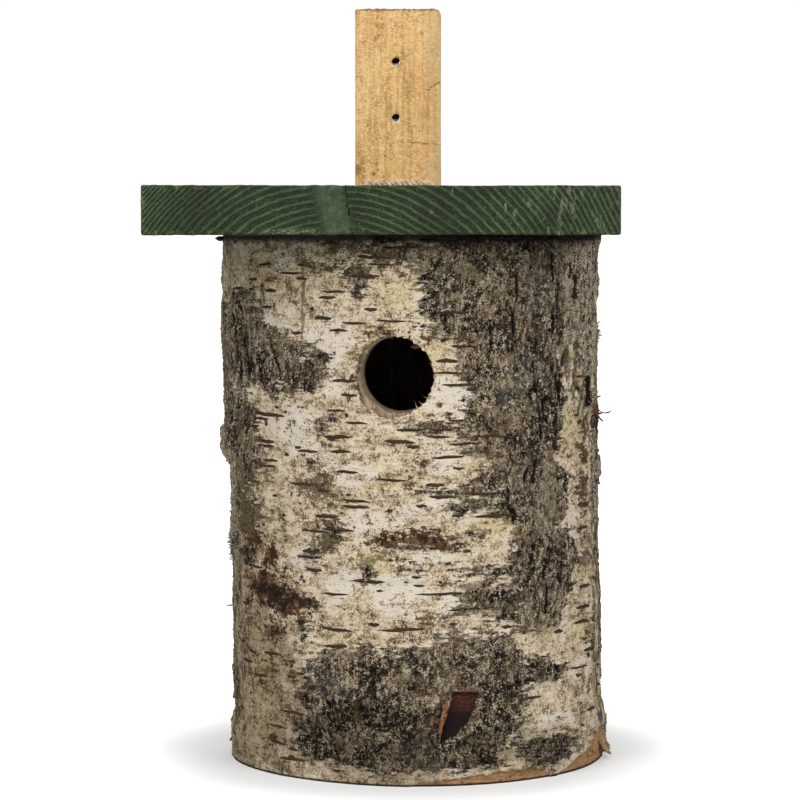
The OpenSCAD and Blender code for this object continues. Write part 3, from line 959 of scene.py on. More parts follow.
def settle(bm, name, material, body, place=None, marks=None):
    """Makes a piece from a bmesh and lets it ride on a body.

    Its points are moved by place, which may also fill the marks that the mesh then carries.
    """
    mesh = bpy.data.meshes.new(name)
    bm.to_mesh(mesh)
    bm.free()
    points = np.empty(len(mesh.vertices) * 3)
    mesh.vertices.foreach_get("co", points)
    points = points.reshape(-1, 3)
    if place is not None:
        points = place(points)
    mesh.vertices.foreach_set("co", points.ravel())
    for key, values in (marks or {}).items():
        layer = mesh.attributes.new(key, "FLOAT", "POINT")
        layer.data.foreach_set("value", values.astype(np.float32))
    mesh.shade_smooth()
    mesh.update()
    mesh.materials.append(material)
    piece = bpy.data.objects.new(name, mesh)
    bpy.context.scene.collection.objects.link(piece)
    if body:
        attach(piece, body)
    return piece


def join(bm, part):
    """Adds one bmesh to another and frees it."""
    held = bpy.data.meshes.new("part")
    part.to_mesh(held)
    part.free()
    bm.from_mesh(held)
    bpy.data.meshes.remove(held)


def flat_grid(bm, across, along, middle, width, height):
    """A level grid added to a bmesh about a middle. Returns its points."""
    matrix = Matrix.Translation(middle) @ Matrix.Diagonal((width, height, 1, 1))
    return bmesh.ops.create_grid(bm, x_segments=across, y_segments=along, size=0.5, matrix=matrix)["verts"]


def open_edges(bm):
    """Edges that have a face on one side only."""
    return [e for e in bm.edges if e.is_boundary]


def new_points(grown):
    """The points among what an operator made."""
    return [g for g in grown["geom"] if isinstance(g, bmesh.types.BMVert)]


def sort_parts(parts, key):
    """Sorts points, edges or faces. Those that were picked before are no longer the same ones."""
    for rank, part in enumerate(sorted(parts, key=key)):
        part.index = rank
    parts.sort()


def in_order(bm):
    """Sorts edges and faces by their points, because extruding leaves the new ones in a chance order."""
    bm.verts.index_update()
    for parts in (bm.edges, bm.faces):
        sort_parts(parts, lambda part: sorted(vert.index for vert in part.verts))


def pull_edges(bm, edges, move):
    """Extrudes edges and moves the new ones."""
    grown = new_points(bmesh.ops.extrude_edge_only(bm, edges=edges))
    bmesh.ops.translate(bm, verts=grown, vec=move)
    in_order(bm)


def cut_upright(bm, height, cuts):
    """Cuts the edges that run up a block or tube of that height into shorter ones."""
    upright = [e for e in bm.edges if abs(e.verts[0].co.z - e.verts[1].co.z) > height / 2]
    bmesh.ops.subdivide_edges(bm, edges=upright, cuts=cuts, use_grid_fill=True)


def tube(sides, foot, top, length, cuts):
    """An upright closed tube in a bmesh of its own, from its radii at foot and top."""
    bm = bmesh.new()
    middle = Matrix.Translation((0, 0, length / 2))
    bmesh.ops.create_cone(
        bm, segments=sides, radius1=foot, radius2=top, depth=length, cap_ends=True, matrix=middle
    )
    cut_upright(bm, length, cuts)
    return bm


# ---------------------------------------------------------------- bark

ENTRANCE = Vector((arc(ENTRANCE_A), ENTRANCE_V, 0))  # its middle on the flat bark
TORN_REACH = 24  # more than the torn edge's distance from that middle, in millimetres
BACK_REACH = 27  # radius of the opening in the hidden back of the bark
BACK_INSET = 4  # how much shorter and narrower that back is
EDGE_ROW = 0.8  # depth of the first row of faces down the bark's edges


def hole_edge(turn):
    """Distance of the torn bark's edge from the middle of the entrance, by angle in its plane."""
    angles = [0, 30, 45, 60, 75, 90, 120, 150, 180, 205, 218, 230, 238, 250, 262, 275, 300, 330, 360]
    radii = [
        16.2, 16.0, 15.8, 15.7, 16.0, 16.4, 16.8, 17.0, 17.1, 17.4, 18.8, 19.2, 17.5, 18.6, 18.2, 17.0, 16.6,
        16.3, 16.2,
    ]
    ragged = 0.35 * np.sin(turn * 17 + 1) * np.sin(turn * 7) + 0.2 * np.sin(turn * 41)
    return np.interp(np.degrees(turn) % 360, angles, radii) + ragged


def open_entrance(bm):
    """Cuts the entrance out of a flat sheet and sets the cut on the torn outline."""
    def reach(away):
        return hole_edge(math.atan2(away.y, away.x))

    gone = []
    for face in bm.faces:
        away = face.calc_center_median() - ENTRANCE
        if away.length < TORN_REACH and away.length < reach(away):
            gone.append(face)
    bmesh.ops.delete(bm, geom=gone, context="FACES")
    for vert in bm.verts:
        away = vert.co - ENTRANCE
        if vert.is_boundary and away.length < TORN_REACH:
            vert.co = ENTRANCE + away.normalized() * reach(away)


def bark_sheet(start, end, spacing, with_hole):
    """A flat sheet of bark between two angles, with edges as thick as the bark."""
    bm = bmesh.new()
    width, middle = arc(end) - arc(start), (arc(start) + arc(end)) / 2
    flat_grid(bm, round(width / spacing), round(LOG_H / spacing), (middle, LOG_H / 2, 0), width, LOG_H)
    if with_hole:
        open_entrance(bm)
    for depth in (EDGE_ROW, BARK_T - EDGE_ROW):
        pull_edges(bm, open_edges(bm), (0, 0, -depth))

    # The inner side is hidden, so it is closed with a coarse sheet
    back = flat_grid(bm, 20, 23, (middle, LOG_H / 2, -BARK_T), width - BACK_INSET, LOG_H - BACK_INSET)
    if with_hole:
        faces = {face for vert in back for face in vert.link_faces}
        near = [f for f in faces if (f.calc_center_median() - ENTRANCE).xy.length < BACK_REACH]
        bmesh.ops.delete(bm, geom=near, context="FACES")
    bmesh.ops.triangle_fill(bm, use_beauty=True, edges=open_edges(bm))
    bmesh.ops.recalc_face_normals(bm, faces=bm.faces)
    return bm


def wrapped_bark(name, start, end, spacing, with_hole, material):
    """A piece of bark between two angles, with its relief and its marks."""
    marks = {}

    def place(flat):
        relief, found = survey(flat[:, 0], flat[:, 1])
        marks.update(found)
        edge = flat[:, 2] < -0.1
        marks["bare"] = np.where(edge, 0.0, marks["bare"])
        down = np.clip(-flat[:, 2] / BARK_T, 0, 1)
        flat[:, 2] += relief * (1 - down)
        return wrap(flat)

    bm = bark_sheet(start, end, spacing, with_hole)
    return settle(bm, name, material, "box", place, marks)


# ---------------------------------------------------------------- lenticels

# Lenticels on the front half: angle and height of the middle, and half the length in degrees
LENTICELS = [
    (-138.5, 217.5, 3.2), (-145, 211, 2.5), (-136.5, 206.5, 2.7), (-138.5, 199.5, 2.5),
    (-128, 214, 4.5), (-124, 217.5, 1.5), (-99, 218, 3.5), (-103.5, 213, 4.5), (-113, 206.5, 4),
    (-115.5, 204, 3), (-117, 195.5, 3), (-107, 193.5, 4), (-96, 194.5, 4.5), (-112, 190.5, 3),
    (-110.5, 169.5, 4), (-109, 163.5, 2.7), (-113, 157, 3), (-107, 152, 3.5), (-91, 149.5, 4),
    (-94, 144.5, 4.5), (-113, 146, 4.5), (-139, 154, 8), (-142, 152, 3.5), (-139.5, 142.5, 3.7),
    (-139.5, 140.5, 3.7), (-123, 139.5, 3.8), (-112, 140, 3.3), (-138, 134.5, 3.5), (-139, 132, 3.7),
    (-110, 131.5, 3.5), (-96.5, 128.5, 4.7), (-126, 125.5, 4), (-107.5, 119.5, 4.5), (-107.5, 117, 4.5),
    (-146, 148.5, 3), (-78, 198, 5), (-75, 184, 4), (-82, 149.5, 4), (-83, 146.5, 3.5), (-80, 138, 5),
    (-82, 121.5, 4), (-75, 143.5, 5), (-117, 112.5, 4), (-113, 107, 5.5), (-120, 106, 4),
    (-147, 99.5, 4), (-123, 95, 4.5), (-122, 97.5, 3.5), (-158, 93, 3), (-146.5, 88, 3.5),
    (-121.5, 89.5, 3), (-104, 86, 5), (-114.5, 80, 4.5), (-94, 66, 7), (-114, 65, 5), (-158, 54.5, 4.5),
    (-160, 59.5, 3), (-139, 52, 3.7), (-114.5, 58, 4), (-153, 46.5, 4), (-145, 41.5, 4), (-130, 28, 5),
    (-137, 21, 4), (-137, 14, 3.5), (-131, 8, 5.5), (-160, 24.5, 4), (-167, 35, 3), (-166, 12, 3),
    (-32, 44.5, 6), (-25, 51, 4), (-28, 114.5, 4), (-29, 104.5, 4), (-28, 79, 4), (-30, 70.5, 4),
    (-30, 64, 5), (-55, 35, 5), (-24, 25, 4), (-79, 173, 5), (-80, 178, 3.5), (-76, 168, 6),
    (-68, 146.5, 6), (-84, 126.5, 3), (-74, 74.5, 7), (-82, 81, 8), (-101, 221, 5), (-93, 225, 6),
    (-70, 122.5, 8), (-66, 113, 7),
]


def all_lenticels():
    """The lenticels read on the front, with seeded ones on the back half and short ones all round."""
    rng = np.random.default_rng(3)
    rest = [(rng.uniform(0, 180), rng.uniform(6, 226), rng.uniform(2, 5.5)) for _ in range(170)]
    short = [(rng.uniform(-180, 180), rng.uniform(5, 227), rng.uniform(0.9, 2.2)) for _ in range(230)]
    angles, heights, _ = np.array(rest + short).T
    crust = survey(np.radians(angles) * LOG_R, heights)[1]["crust"]
    return LENTICELS + [spot for spot, share in zip(rest + short, crust) if share < 0.6]


def lens_grid(bm, angle, height, half, thick, rng):
    """One lens-shaped lenticel, pointed at both ends and proud in the middle."""
    half = half * 1.08
    length, u0, slant = 2 * math.radians(half) * LOG_R, arc(angle), rng.uniform(-0.05, 0.05)
    for vert in flat_grid(bm, 8, 4, (u0, height, 0), length, thick):
        x, y = 2 * (vert.co.x - u0) / length, 2 * (vert.co.y - height) / thick
        round_off = max(0.0, 1 - x * x) ** 0.6
        wobble = 0.16 * math.sin(5 * x + angle) + 0.1 * math.sin(13 * x + height)
        vert.co.y = height + (y * round_off + wobble) * thick / 2 + slant * x * length / 2
        vert.co.z = 0.5 * round_off * (1 - y * y) - 0.06


def lenticel_finish(colours):
    """Corky dark bark of the lenticels."""
    f = Finish("lenticel_cork", colours)
    fine = f.noise(0.8, stretch=(2, 2, 1), detail=5, rough=0.7)
    colour = f.ramp(fine, 0.36, 0.62, "lenticel_dark", "lenticel")
    return f.done(colour, 0.85, f.bump(fine, 0.3), 0.2)


def lenticels(material):
    """Every lenticel, in one piece."""
    rng = np.random.default_rng(8)
    bm = bmesh.new()
    for angle, height, half in all_lenticels():
        lens_grid(bm, angle, height, half, rng.uniform(1.1, 1.9), rng)
    settle(bm, "lenticels", material, "box", on_skin)


# ---------------------------------------------------------------- loose scraps of bark and moss

SCRAP_SINK = 0.15  # how deep the foot of a scrap sits in the bark, in millimetres


def scrap(bm, angle, height, long, wide, turn, curl, rng, thick, steps=8, across_steps=4):
    """One scrap of bark: it leaves the skin flat, then rolls outwards with a radius of curl.

    It starts at its foot and runs in the direction of turn, in degrees from round the log.
    """
    bm_scrap = bmesh.new()
    flat_grid(bm_scrap, steps, across_steps, (0.5, 0, 0), 1, 1)
    way, u0 = math.radians(turn), arc(angle)
    ragged = rng.uniform(0.6, 1.0, steps + 1)
    for vert in bm_scrap.verts:
        t, side = vert.co.x, 2 * vert.co.y
        k = min(steps, round(t * steps))
        run = t * long * (1 - 0.18 * abs(side) * ragged[k])
        across = side * wide / 2 * (ragged[k] if 0 < t < 1 else 0.55 * ragged[k])
        roll = run / curl
        along, out = curl * math.sin(roll), curl * (1 - math.cos(roll))
        vert.co.x = u0 + along * math.cos(way) - across * math.sin(way)
        vert.co.y = height + along * math.sin(way) + across * math.cos(way)
        vert.co.z = out - SCRAP_SINK + 0.06 * math.sin(9 * t + angle)
    bmesh.ops.solidify(bm_scrap, geom=bm_scrap.faces[:], thickness=thick)
    in_order(bm_scrap)
    bmesh.ops.recalc_face_normals(bm_scrap, faces=bm_scrap.faces)
    join(bm, bm_scrap)


def on_skin(flat):
    """Flat points set on the bark's own relief and wrapped round the log."""
    flat[:, 2] += skin(flat[:, 0], np.clip(flat[:, 1], 0.5, LOG_H - 0.5))
    return wrap(flat)


def scraps_piece(name, scraps, material, seed, **shape):
    """A piece made of scraps: each is its angle, height, length, width, turn and curl."""
    bm = bmesh.new()
    rng = np.random.default_rng(seed)
    for spot in scraps:
        scrap(bm, *spot, rng, **shape)
    return settle(bm, name, material, "box", on_skin)


def scrap_finish(name, colours, outer, inner):
    """Loose bark, darker where its noise is low."""
    f = Finish(name, colours)
    fine = f.noise(0.9, detail=6, rough=0.7)
    small = f.noise(3.0, stretch=(1, 1, 1.6), detail=6, rough=0.7)
    tone = f.math("MULTIPLY_ADD", fine, 0.5, f.times(small, 0.5))
    colour = f.over(f.ramp(tone, 0.42, 0.58, inner, outer), f.step(fine, 0.58, 0.68), "fleck")
    return f.done(colour, 0.85, f.bump(fine, 0.4), 0.2)


def torn_pieces(loose, colours):
    """The stub under the roof, the shreds, the rolled lip and the flakes that are broken off the bark."""
    tan = scrap_finish("torn_bark", colours, "tan", "tan_dark")
    red = scrap_finish("inner_bark_red", colours, "red", "red_dark")
    rolled = scrap_finish("rolled_bark", colours, "lip", "red")
    pink = scrap_finish("pink_flake", colours, "pink", "tan")

    stub = [(180, 228.0, 6.4, 2.2, 0, 4.0), (181, 227.4, 5.6, 1.6, 3, 3.6), (179.4, 228.4, 5.0, 1.4, -2, 3.4)]
    tab = scraps_piece("bark_stub", stub, loose, 7, thick=0.6)
    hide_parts("bark_tab")
    torn = [
        (-12, 156.5, 9, 3.6, -88, 12), (-7, 155, 8, 3.0, -84, 3.4), (-3, 153, 5, 2.2, -70, 2.2),
        (-15, 156, 6, 2.4, -94, 14), (-1, 157, 3, 1.6, 60, 1.6),
    ]
    shreds = scraps_piece("bark_shreds", torn, red, 2, thick=0.6)
    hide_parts("bark_shred")
    curls = [(-81.4, 29.5, 4.4, 21, 166.6, 3.2), (-76.2, 39.8, 1.3, 11, 92, 1.6)]
    lip = scraps_piece("bark_lip", curls, rolled, 3, thick=0.5, steps=6)
    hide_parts("bark_curl")
    foot = [(-11, 13.5, 13.5, 10, -84, 17), (-5, 10, 9, 6, -96, 9)]
    flake = scraps_piece("bark_flake_foot", foot, tan, 4, thick=0.9)
    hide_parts("bark_flake")
    bright = [(-97, 46.6, 3.2, 2.2, 86, 14), (-158, 134.5, 5.4, 5, -88, 18)]
    scraps_piece("pink_flake", bright, pink, 8, thick=0.4, steps=5)


# Larger loose flakes, given as scraps are, and places of the tufts of moss: angle and height
BIG_FLAKES = [
    (184, 134, 5, 5, -90, 6), (-8, 124, 4, 4, -90, 5), (-6, 133, 3, 3, 80, 4),
    (181, 66, 5, 0.8, 200, 2),
]
TUFTS = [(180, 92), (178, 94), (180, 89), (181, 96), (-4, 187), (150, 60), (60, 120), (120, 60)]


def flakes_and_moss(loose, moss, settings):
    """Small flakes all round the log, and tufts of moss."""
    rng = np.random.default_rng(21)
    flakes = [
        (rng.uniform(-180, 180), rng.uniform(6, 222), rng.uniform(1.5, 4.5), rng.uniform(0.8, 2.6),
         rng.uniform(0, 360), rng.uniform(3, 9))
        for _ in range(settings.flakes)
    ]
    tufts = [
        (angle + rng.uniform(-2, 2), height + rng.uniform(-2.5, 2.5), rng.uniform(2.5, 5.5), 0.5,
         rng.uniform(0, 360), rng.uniform(1.8, 4))
        for angle, height in TUFTS
        for _ in range(settings.tuft_strands)
    ]
    thick = settings.flake_thickness / MM
    scraps_piece("loose_flakes", flakes + BIG_FLAKES, loose, 5, thick=thick, steps=4, across_steps=2)
    scraps_piece("moss_tufts", tufts, moss, 6, thick=0.15, steps=4, across_steps=1)


# ---------------------------------------------------------------- entrance splinters

# Wood fibres on the rim of the entrance: angle round it, length, and direction in its plane
SPLINTERS = [
    (140, 3.4, -65), (205, 5.0, 99), (254, 6.6, 136), (251, 5.2, 126), (268, 2.8, 118), (303, 3.6, 104),
    (324, 2.4, 143), (228, 2.4, 60), (281, 1.8, 80), (165, 2.0, -20), (312, 2.0, 120), (216, 1.8, 40),
    (18, 1.6, 170), (60, 1.4, 240), (95, 1.5, 280), (236, 3.2, 92),
]


SPLINTER_ROOT = 16.3  # distance of the splinters' roots from the middle of the entrance
SPLINTER_DEPTH = 1.4  # how deep the roots lie under the bark's mean outline


def fibre_strip(bm, root, way, long, wide, bend, dip):
    """A thin tapering fibre from a root, four-sided, bending sideways and out of the plane."""
    fibre = tube(4, wide, wide * 0.15, 1, 6)
    for vert in fibre.verts:
        t = vert.co.z
        taper = 1 - 0.75 * t
        side, out = vert.co.x * taper, vert.co.y * taper
        along, drift = t * long, bend * t * t
        vert.co = root + Vector((
            along * math.cos(way) - (side + drift) * math.sin(way),
            along * math.sin(way) + (side + drift) * math.cos(way),
            out + dip * t * t,
        ))
    join(bm, fibre)


def splinters(material):
    """The fibres round the entrance, in one piece."""
    bm = bmesh.new()
    for turn, long, way in SPLINTERS:
        turn = math.radians(turn)
        rim = (SPLINTER_ROOT * math.cos(turn), SPLINTER_ROOT * math.sin(turn), -SPLINTER_DEPTH)
        fibre_strip(bm, ENTRANCE + Vector(rim), math.radians(way), long, 0.22, 0.4, 1.0)
    settle(bm, "entrance_splinters", material, "box", wrap)


# ---------------------------------------------------------------- boards

ON_FACE = 0.02  # how near a face a point is that lies on it, in millimetres
ON_LEVEL = 0.001  # the same before any relief is added
BOARD_SHIFT = 150  # moves a board's noise to where its table has no edge


def board(low, high, across, along, up, spread=None):
    """A block of fine faces: a grid for its top, pulled down and cut into rows."""
    bm = bmesh.new()
    size, middle = high - low, (low + high) / 2
    flat_grid(bm, across, along, (middle[0], middle[1], high[2]), size[0], size[1])
    if spread:
        for vert in bm.verts:
            vert.co.y = np.interp(vert.co.y, *spread)
    lifted = set(new_points(bmesh.ops.extrude_face_region(bm, geom=bm.faces[:])))
    for vert in bm.verts:
        if vert not in lifted:
            vert.co.z = low[2]
    cut_upright(bm, size[2], up - 1)

    # The cut edges may run up or down by chance, so the points are set level and sorted by place
    row = size[2] / up
    for vert in bm.verts:
        vert.co.z = low[2] + row * round((vert.co.z - low[2]) / row)
    sort_parts(bm.verts, lambda vert: vert.co[:])
    in_order(bm)
    bmesh.ops.recalc_face_normals(bm, faces=bm.faces)
    return bm


def drill(bm, spot, radius, axis, level):
    """Opens a round hole in the flat face of a block at a level along an axis. Returns its rim."""
    def away(co):
        return Vector([0 if k == axis else co[k] - spot[k] for k in range(3)])

    def near(co, reach):
        return abs(co[axis] - level) < ON_LEVEL and away(co).length < reach

    gone = [face for face in bm.faces if near(face.calc_center_median(), radius)]
    bmesh.ops.delete(bm, geom=gone, context="FACES")
    rim = [e for e in open_edges(bm) if all(near(v.co, radius * 1.8 + 1) for v in e.verts)]
    for vert in {v for e in rim for v in e.verts}:
        out = away(vert.co)
        vert.co = vert.co - out + out.normalized() * radius
    return rim


def bore_through(bm, spot, radius, axis, low, high):
    """Bores a round hole through a block from one level along an axis to another."""
    rims = drill(bm, spot, radius, axis, low) + drill(bm, spot, radius, axis, high)
    bmesh.ops.bridge_loops(bm, edges=rims)


def faces_of(points, low, high):
    """How surely each point lies on each of a block's six faces."""
    on = {}
    for axis, name in enumerate("xyz"):
        on["-" + name] = (np.abs(points[:, axis] - low[axis]) < ON_FACE).astype(float)
        on["+" + name] = (np.abs(points[:, axis] - high[axis]) < ON_FACE).astype(float)
    return on


def rounded(points, low, high, radius):
    """Rounds the edges of a block."""
    core = np.clip(points, low + radius, high - radius)
    out = points - core
    reach = np.linalg.norm(out, axis=1, keepdims=True)
    near = (np.abs(out) > 1e-9).sum(1, keepdims=True) > 1
    return np.where(near & (reach > 1e-9), core + out / np.maximum(reach, 1e-9) * radius, points)


def board_noise(p, q, size_p, size_q, seed, octaves=3):
    """Noise over a flat face of a board, from -0.5 to 0.5."""
    return ripple(p + BOARD_SHIFT, q, size_p, size_q, seed, octaves)


# ---------------------------------------------------------------- roof

PITH_X, PITH_Z = -33, 178  # pith of the tree that the roof board was sawn from, under the board
RING_GAP = 3.3  # distance between its year rings, in millimetres
CRACK_X = -27  # where the end grain is cracked
ROOF_MID = 240  # height about which the rings' calm band and the crack lean
RIM = 1.6  # width of the worn rim along the board's edges, in millimetres


def ring_phase(x, z):
    """Count of year rings from the pith, closer together far from it."""
    far = np.hypot(x - PITH_X, z - PITH_Z)
    beyond, leftward = np.maximum(far - 68, 0) ** 2, soft(-x, 30, 52)
    crowd = 0.006 * leftward + 0.0013 * (1 - leftward)
    return far / RING_GAP + crowd * beyond + board_noise(x, z, 26, 14, 71, 2) + 0.4 * np.sin(far / 9)


def end_grain(x, z, rise):
    """The end grain by place: its ring count, how clearly rings show, its crack and its height."""
    phase = ring_phase(x, z)
    saw = phase % 1
    ridge = soft(saw, 0.55, 0.9) * (1 - soft(saw, 0.94, 1.0))
    up = z - ROOF_MID
    calm = 1 - np.exp(-(((x - PITH_X + 0.25 * up) / 8) ** 2))
    middle = CRACK_X - 0.12 * up + 1.6 * board_noise(z, z * 0, 5, 9, 70)
    crack = np.exp(-(((x - middle) / 0.3) ** 2)) * soft(board_noise(x * 0, z, 9, 3, 69), -0.1, 0.1)
    rough = 0.35 * board_noise(x, z, 9, 6, 72) + 0.16 * board_noise(x, z, 1.6, 1.2, 73)
    return phase, calm, crack, rise * ridge * calm + rough - 0.5 * crack


def roof_relief(p, low, high, edge, rise):
    """The roof board's points with its relief, in millimetres, and its marks."""
    on = faces_of(p, low, high)
    x, y, z = p.T
    phase, calm, crack, end = end_grain(x, z, rise)
    top = 0.3 * board_noise(x, y, 2.2, 60, 74) + 0.5 * board_noise(x, y, 40, 90, 75)
    top = top + 0.1 * np.sin(y / 1.1 + x / 30)
    side = 0.3 * board_noise(y, z, 60, 2, 76) + 0.3 * board_noise(y, z, 40, 12, 77)
    wave = 0.5 * board_noise(x, z * 0, 14, 9, 78) + 0.5 * board_noise(x, z * 0, 2.4, 9, 79)
    wave = wave * np.exp(-(((y - low[1]) / 4) ** 2))
    q = rounded(p, low, high, edge)
    q[:, 0] += (on["+x"] - on["-x"]) * side
    q[:, 1] += on["+y"] * end - on["-y"] * (end + 0.1)
    q[:, 2] += on["+z"] * (top + wave) - on["-z"] * (top + wave + 0.1)

    end_face = np.maximum(on["-y"], on["+y"])
    near = np.minimum(np.abs(p - low), np.abs(p - high)) < RIM
    marks = {
        "ring": phase,
        "calm": calm,
        "end": end_face,
        "rim": soft(near.sum(1), 1, 2),
        "crack": crack * end_face,
    }
    return q, marks


def roof_piece(material, settings):
    """The roof board: painted, with rope holes, raised year rings on its ends and saw marks along it."""
    low, high = ROOF_LOW, ROOF_HIGH
    radius, edge, rise = (length / MM for length in (settings.rope_hole, settings.edge, settings.ring_rise))

    # The rows of faces are spread so that they are finest about the rope's holes
    deep = high[1] - low[1]
    rows = [low[1], low[1] + deep * 0.62, low[1] + deep * 0.84, high[1]]
    bm = board(low, high, 300, 110, 27, (rows, [low[1], ROPE_Y - 6, ROPE_Y + 6, high[1]]))
    for leg in (ROPE_LEFT, ROPE_RIGHT):
        bore_through(bm, (leg, ROPE_Y, 0), radius, 2, low[2], high[2])
    bmesh.ops.recalc_face_normals(bm, faces=bm.faces)
    marks = {}

    def place(p):
        q, found = roof_relief(p, low, high, edge, rise)
        marks.update(found)
        return q * MM

    piece = settle(bm, "roof_plank", material, "roof", place, marks)
    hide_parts("roof_board")
    return piece


def ring_lines(f, fine, small, broad, calm):
    """Lines of the painted board: its raised rings at the ends and its grain elsewhere."""
    grain_along = f.noise(1.4, stretch=(1, 24, 1), detail=6, rough=0.7)
    saw = f.math("FRACT", f.blend((small, 0.5), (fine, 0.5), start=f.mark("ring")))
    ridge = f.times(f.step(saw, 0.42, 0.58), f.less(f.step(saw, 0.84, 0.94)))
    patchy = f.step(f.math("ADD", fine, f.math("ADD", small, broad)), 1.1, 1.6, 0.3, 1.0)
    return f.pick(f.mark("end"), f.step(grain_along, 0.46, 0.62), f.times(ridge, patchy, calm))


def worn_paint(f, colour, fine, small):
    """Paint with rubbed edges, pale specks, chips low on the end grain and its crack."""
    x, _, z = f.axes(f.place)
    end = f.mark("end")
    leftward = f.step(x, -95 * MM, -60 * MM, 1.0, 0.3)
    rub = f.times(f.mark("rim"), f.step(f.math("ADD", fine, small), 1.07, 1.13))
    colour = f.over(colour, f.times(rub, leftward), "paint_chip")
    pale = f.noise(2.4, stretch=(1, 1, 3), detail=6, rough=0.75, shift=(7, 7, 7))
    rubbed = f.times(f.step(x, 20 * MM, 60 * MM), end)
    worn = f.step(f.math("MULTIPLY_ADD", rubbed, 0.08, f.math("MULTIPLY_ADD", fine, 0.3, pale)), 0.78, 0.84)
    specks = f.step(f.noise(0.8, detail=3, rough=0.6, shift=(7, 7, 7)), 0.67, 0.7)
    colour = f.over(colour, f.math("MAXIMUM", worn, specks), "paint_speck", 0.45)
    below = f.step(z, (ROOF_LOW[2] + 3.5) * MM, (ROOF_LOW[2] + 1.5) * MM)
    chips = f.times(f.step(x, -66 * MM, -56 * MM), f.step(x, -34 * MM, -44 * MM), below)
    chips = f.times(chips, end, f.step(fine, 0.52, 0.58))
    colour = f.over(colour, chips, "paint_speck", 0.7)
    return f.over(colour, f.step(f.mark("crack"), 0.2, 0.6), "paint_crack")


def roof_finish(colours):
    """Green paint: thin over the raised rings of the end grain, chipped and rubbed at the edges."""
    f = Finish("roof_paint", colours)
    fine = f.noise(0.7, detail=4, rough=0.75)
    small = f.noise(3.0, detail=6, rough=0.7)
    broad = f.noise(26, detail=4, shift=(2, 4, 1))
    calm = f.step(f.blend((small, 0.8), start=f.mark("calm")), 0.15, 0.7)
    lines = ring_lines(f, fine, small, broad, calm)
    base = f.layers(
        f.ramp(broad, 0.42, 0.6, "paint_dark", "paint"),
        (fine, 0.47, 0.56, "paint_deep", 0.85),
        (fine, 0.44, 0.36, "paint_light", 0.6),
    )
    colour = f.mix(f.times(lines, 0.85), base, f.ramp(fine, 0.42, 0.58, "paint_ridge", "paint_light"))
    smooth_paint = f.ramp(small, 0.4, 0.66, "paint_calm", "paint_light")
    colour = f.mix(f.times(f.mark("end"), f.less(calm)), colour, smooth_paint)
    colour = worn_paint(f, colour, fine, small)
    height = f.math("MULTIPLY_ADD", lines, 0.9, f.times(fine, 0.8))
    return f.done(colour, f.step(small, 0.3, 0.7, 0.55, 0.75), f.bump(height, 0.7), 0.12)


# ---------------------------------------------------------------- batten

def hanging_holes():
    """Middles of the two hanging holes in the batten, x and z, and their radius."""
    holes = next(m for m in frame["record"]["mounts"] if m["name"] == "hanging_holes")
    x, _, z = np.array(holes["pos_m"]) / MM
    apart = holes["dims"]["spacing_y_mm"] / 2
    return [(x, z - apart), (x, z + apart)], holes["dims"]["hole_r_mm"]


def batten_relief(p, low, high, edge):
    """The batten's points with its saw marks and its worn upper corner, in millimetres."""
    on = faces_of(p, low, high)
    x, y, z = p.T
    front = 0.22 * board_noise(x, z, 1.8, 60, 81) + 0.35 * board_noise(x, z, 16, 60, 82)
    front = front + 0.1 * board_noise(x, z, 1.2, 1.6, 83)
    side = 0.3 * board_noise(y, z, 1.6, 50, 84) + 0.3 * board_noise(y, z, 12, 50, 85)
    top = 1.1 * board_noise(x, y, 5, 5, 86) + 1.1 * board_noise(x, y, 1.3, 1.3, 87)
    corner = 0.7 * np.exp(-(((x - high[0]) / 2.2) ** 2) - ((z - high[2]) / 2.2) ** 2)
    q = rounded(p, low, high, edge)
    q[:, 0] += (on["+x"] - on["-x"]) * side - corner
    q[:, 1] += (on["+y"] - on["-y"]) * front
    q[:, 2] += on["+z"] * (top - 0.3) + on["-z"] * top - corner
    return q


def batten_piece(material, settings):
    """The batten: rough-sawn pine with two hanging holes and two counterbored screw holes."""
    low, high = BATTEN_LOW, BATTEN_HIGH
    bm = board(low, high, 50, 25, 320)
    edge, bore, bore_depth = (length / MM for length in (settings.edge, settings.bore, settings.bore_depth))
    places, radius = hanging_holes()
    for x, level in places:
        bore_through(bm, (x, 0, level), radius, 1, low[1], high[1])
    for node in ("batten_screw_upper", "batten_screw_lower"):
        node_low, node_high = box_mm(node)
        rim = drill(bm, (node_low + node_high) / 2, bore, 1, high[1])
        pull_edges(bm, rim, (0, -bore_depth, 0))
        bmesh.ops.contextual_create(bm, geom=open_edges(bm))
    bmesh.ops.recalc_face_normals(bm, faces=bm.faces)

    def place(p):
        return batten_relief(p, low, high, edge) * MM

    piece = settle(bm, "batten_strip", material, "box", place)
    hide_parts("batten")
    return piece


def hole_fibres(material, settings):
    """Torn fibres that half close each hanging hole, dark as painted shade inside it."""
    rng = np.random.default_rng(44)
    torn = bmesh.new()
    places, radius = hanging_holes()
    for x, level in places:
        for k in range(settings.fibres):
            side, lean = (1.6 * (k % 10) / 9 - 0.95) * radius, rng.uniform(-0.3, 0.3)
            top = math.sqrt(radius**2 - min(abs(side), radius * 0.98) ** 2)
            reach = rng.uniform(1.45, 2.15) * top
            root = Vector((x + side, level + top, BATTEN_LOW[1] + rng.uniform(4, 15)))
            fibre_strip(torn, root, math.radians(-90) + 0.2 * lean, reach, 0.42, lean, 0.4)
    return settle(torn, "hole_fibres", material, "box", lambda p: p[:, [0, 2, 1]] * MM)


def fibre_shade_finish(colours):
    """Torn pine fibres, painted dark as the shade inside the hanging holes."""
    f = Finish("pine_fibres", colours)
    fine = f.noise(0.8, detail=4)
    return f.done(f.ramp(fine, 0.5, 0.7, "fibre_dark", "pine_knot"), 0.85, f.bump(fine, 0.2), 0.2)


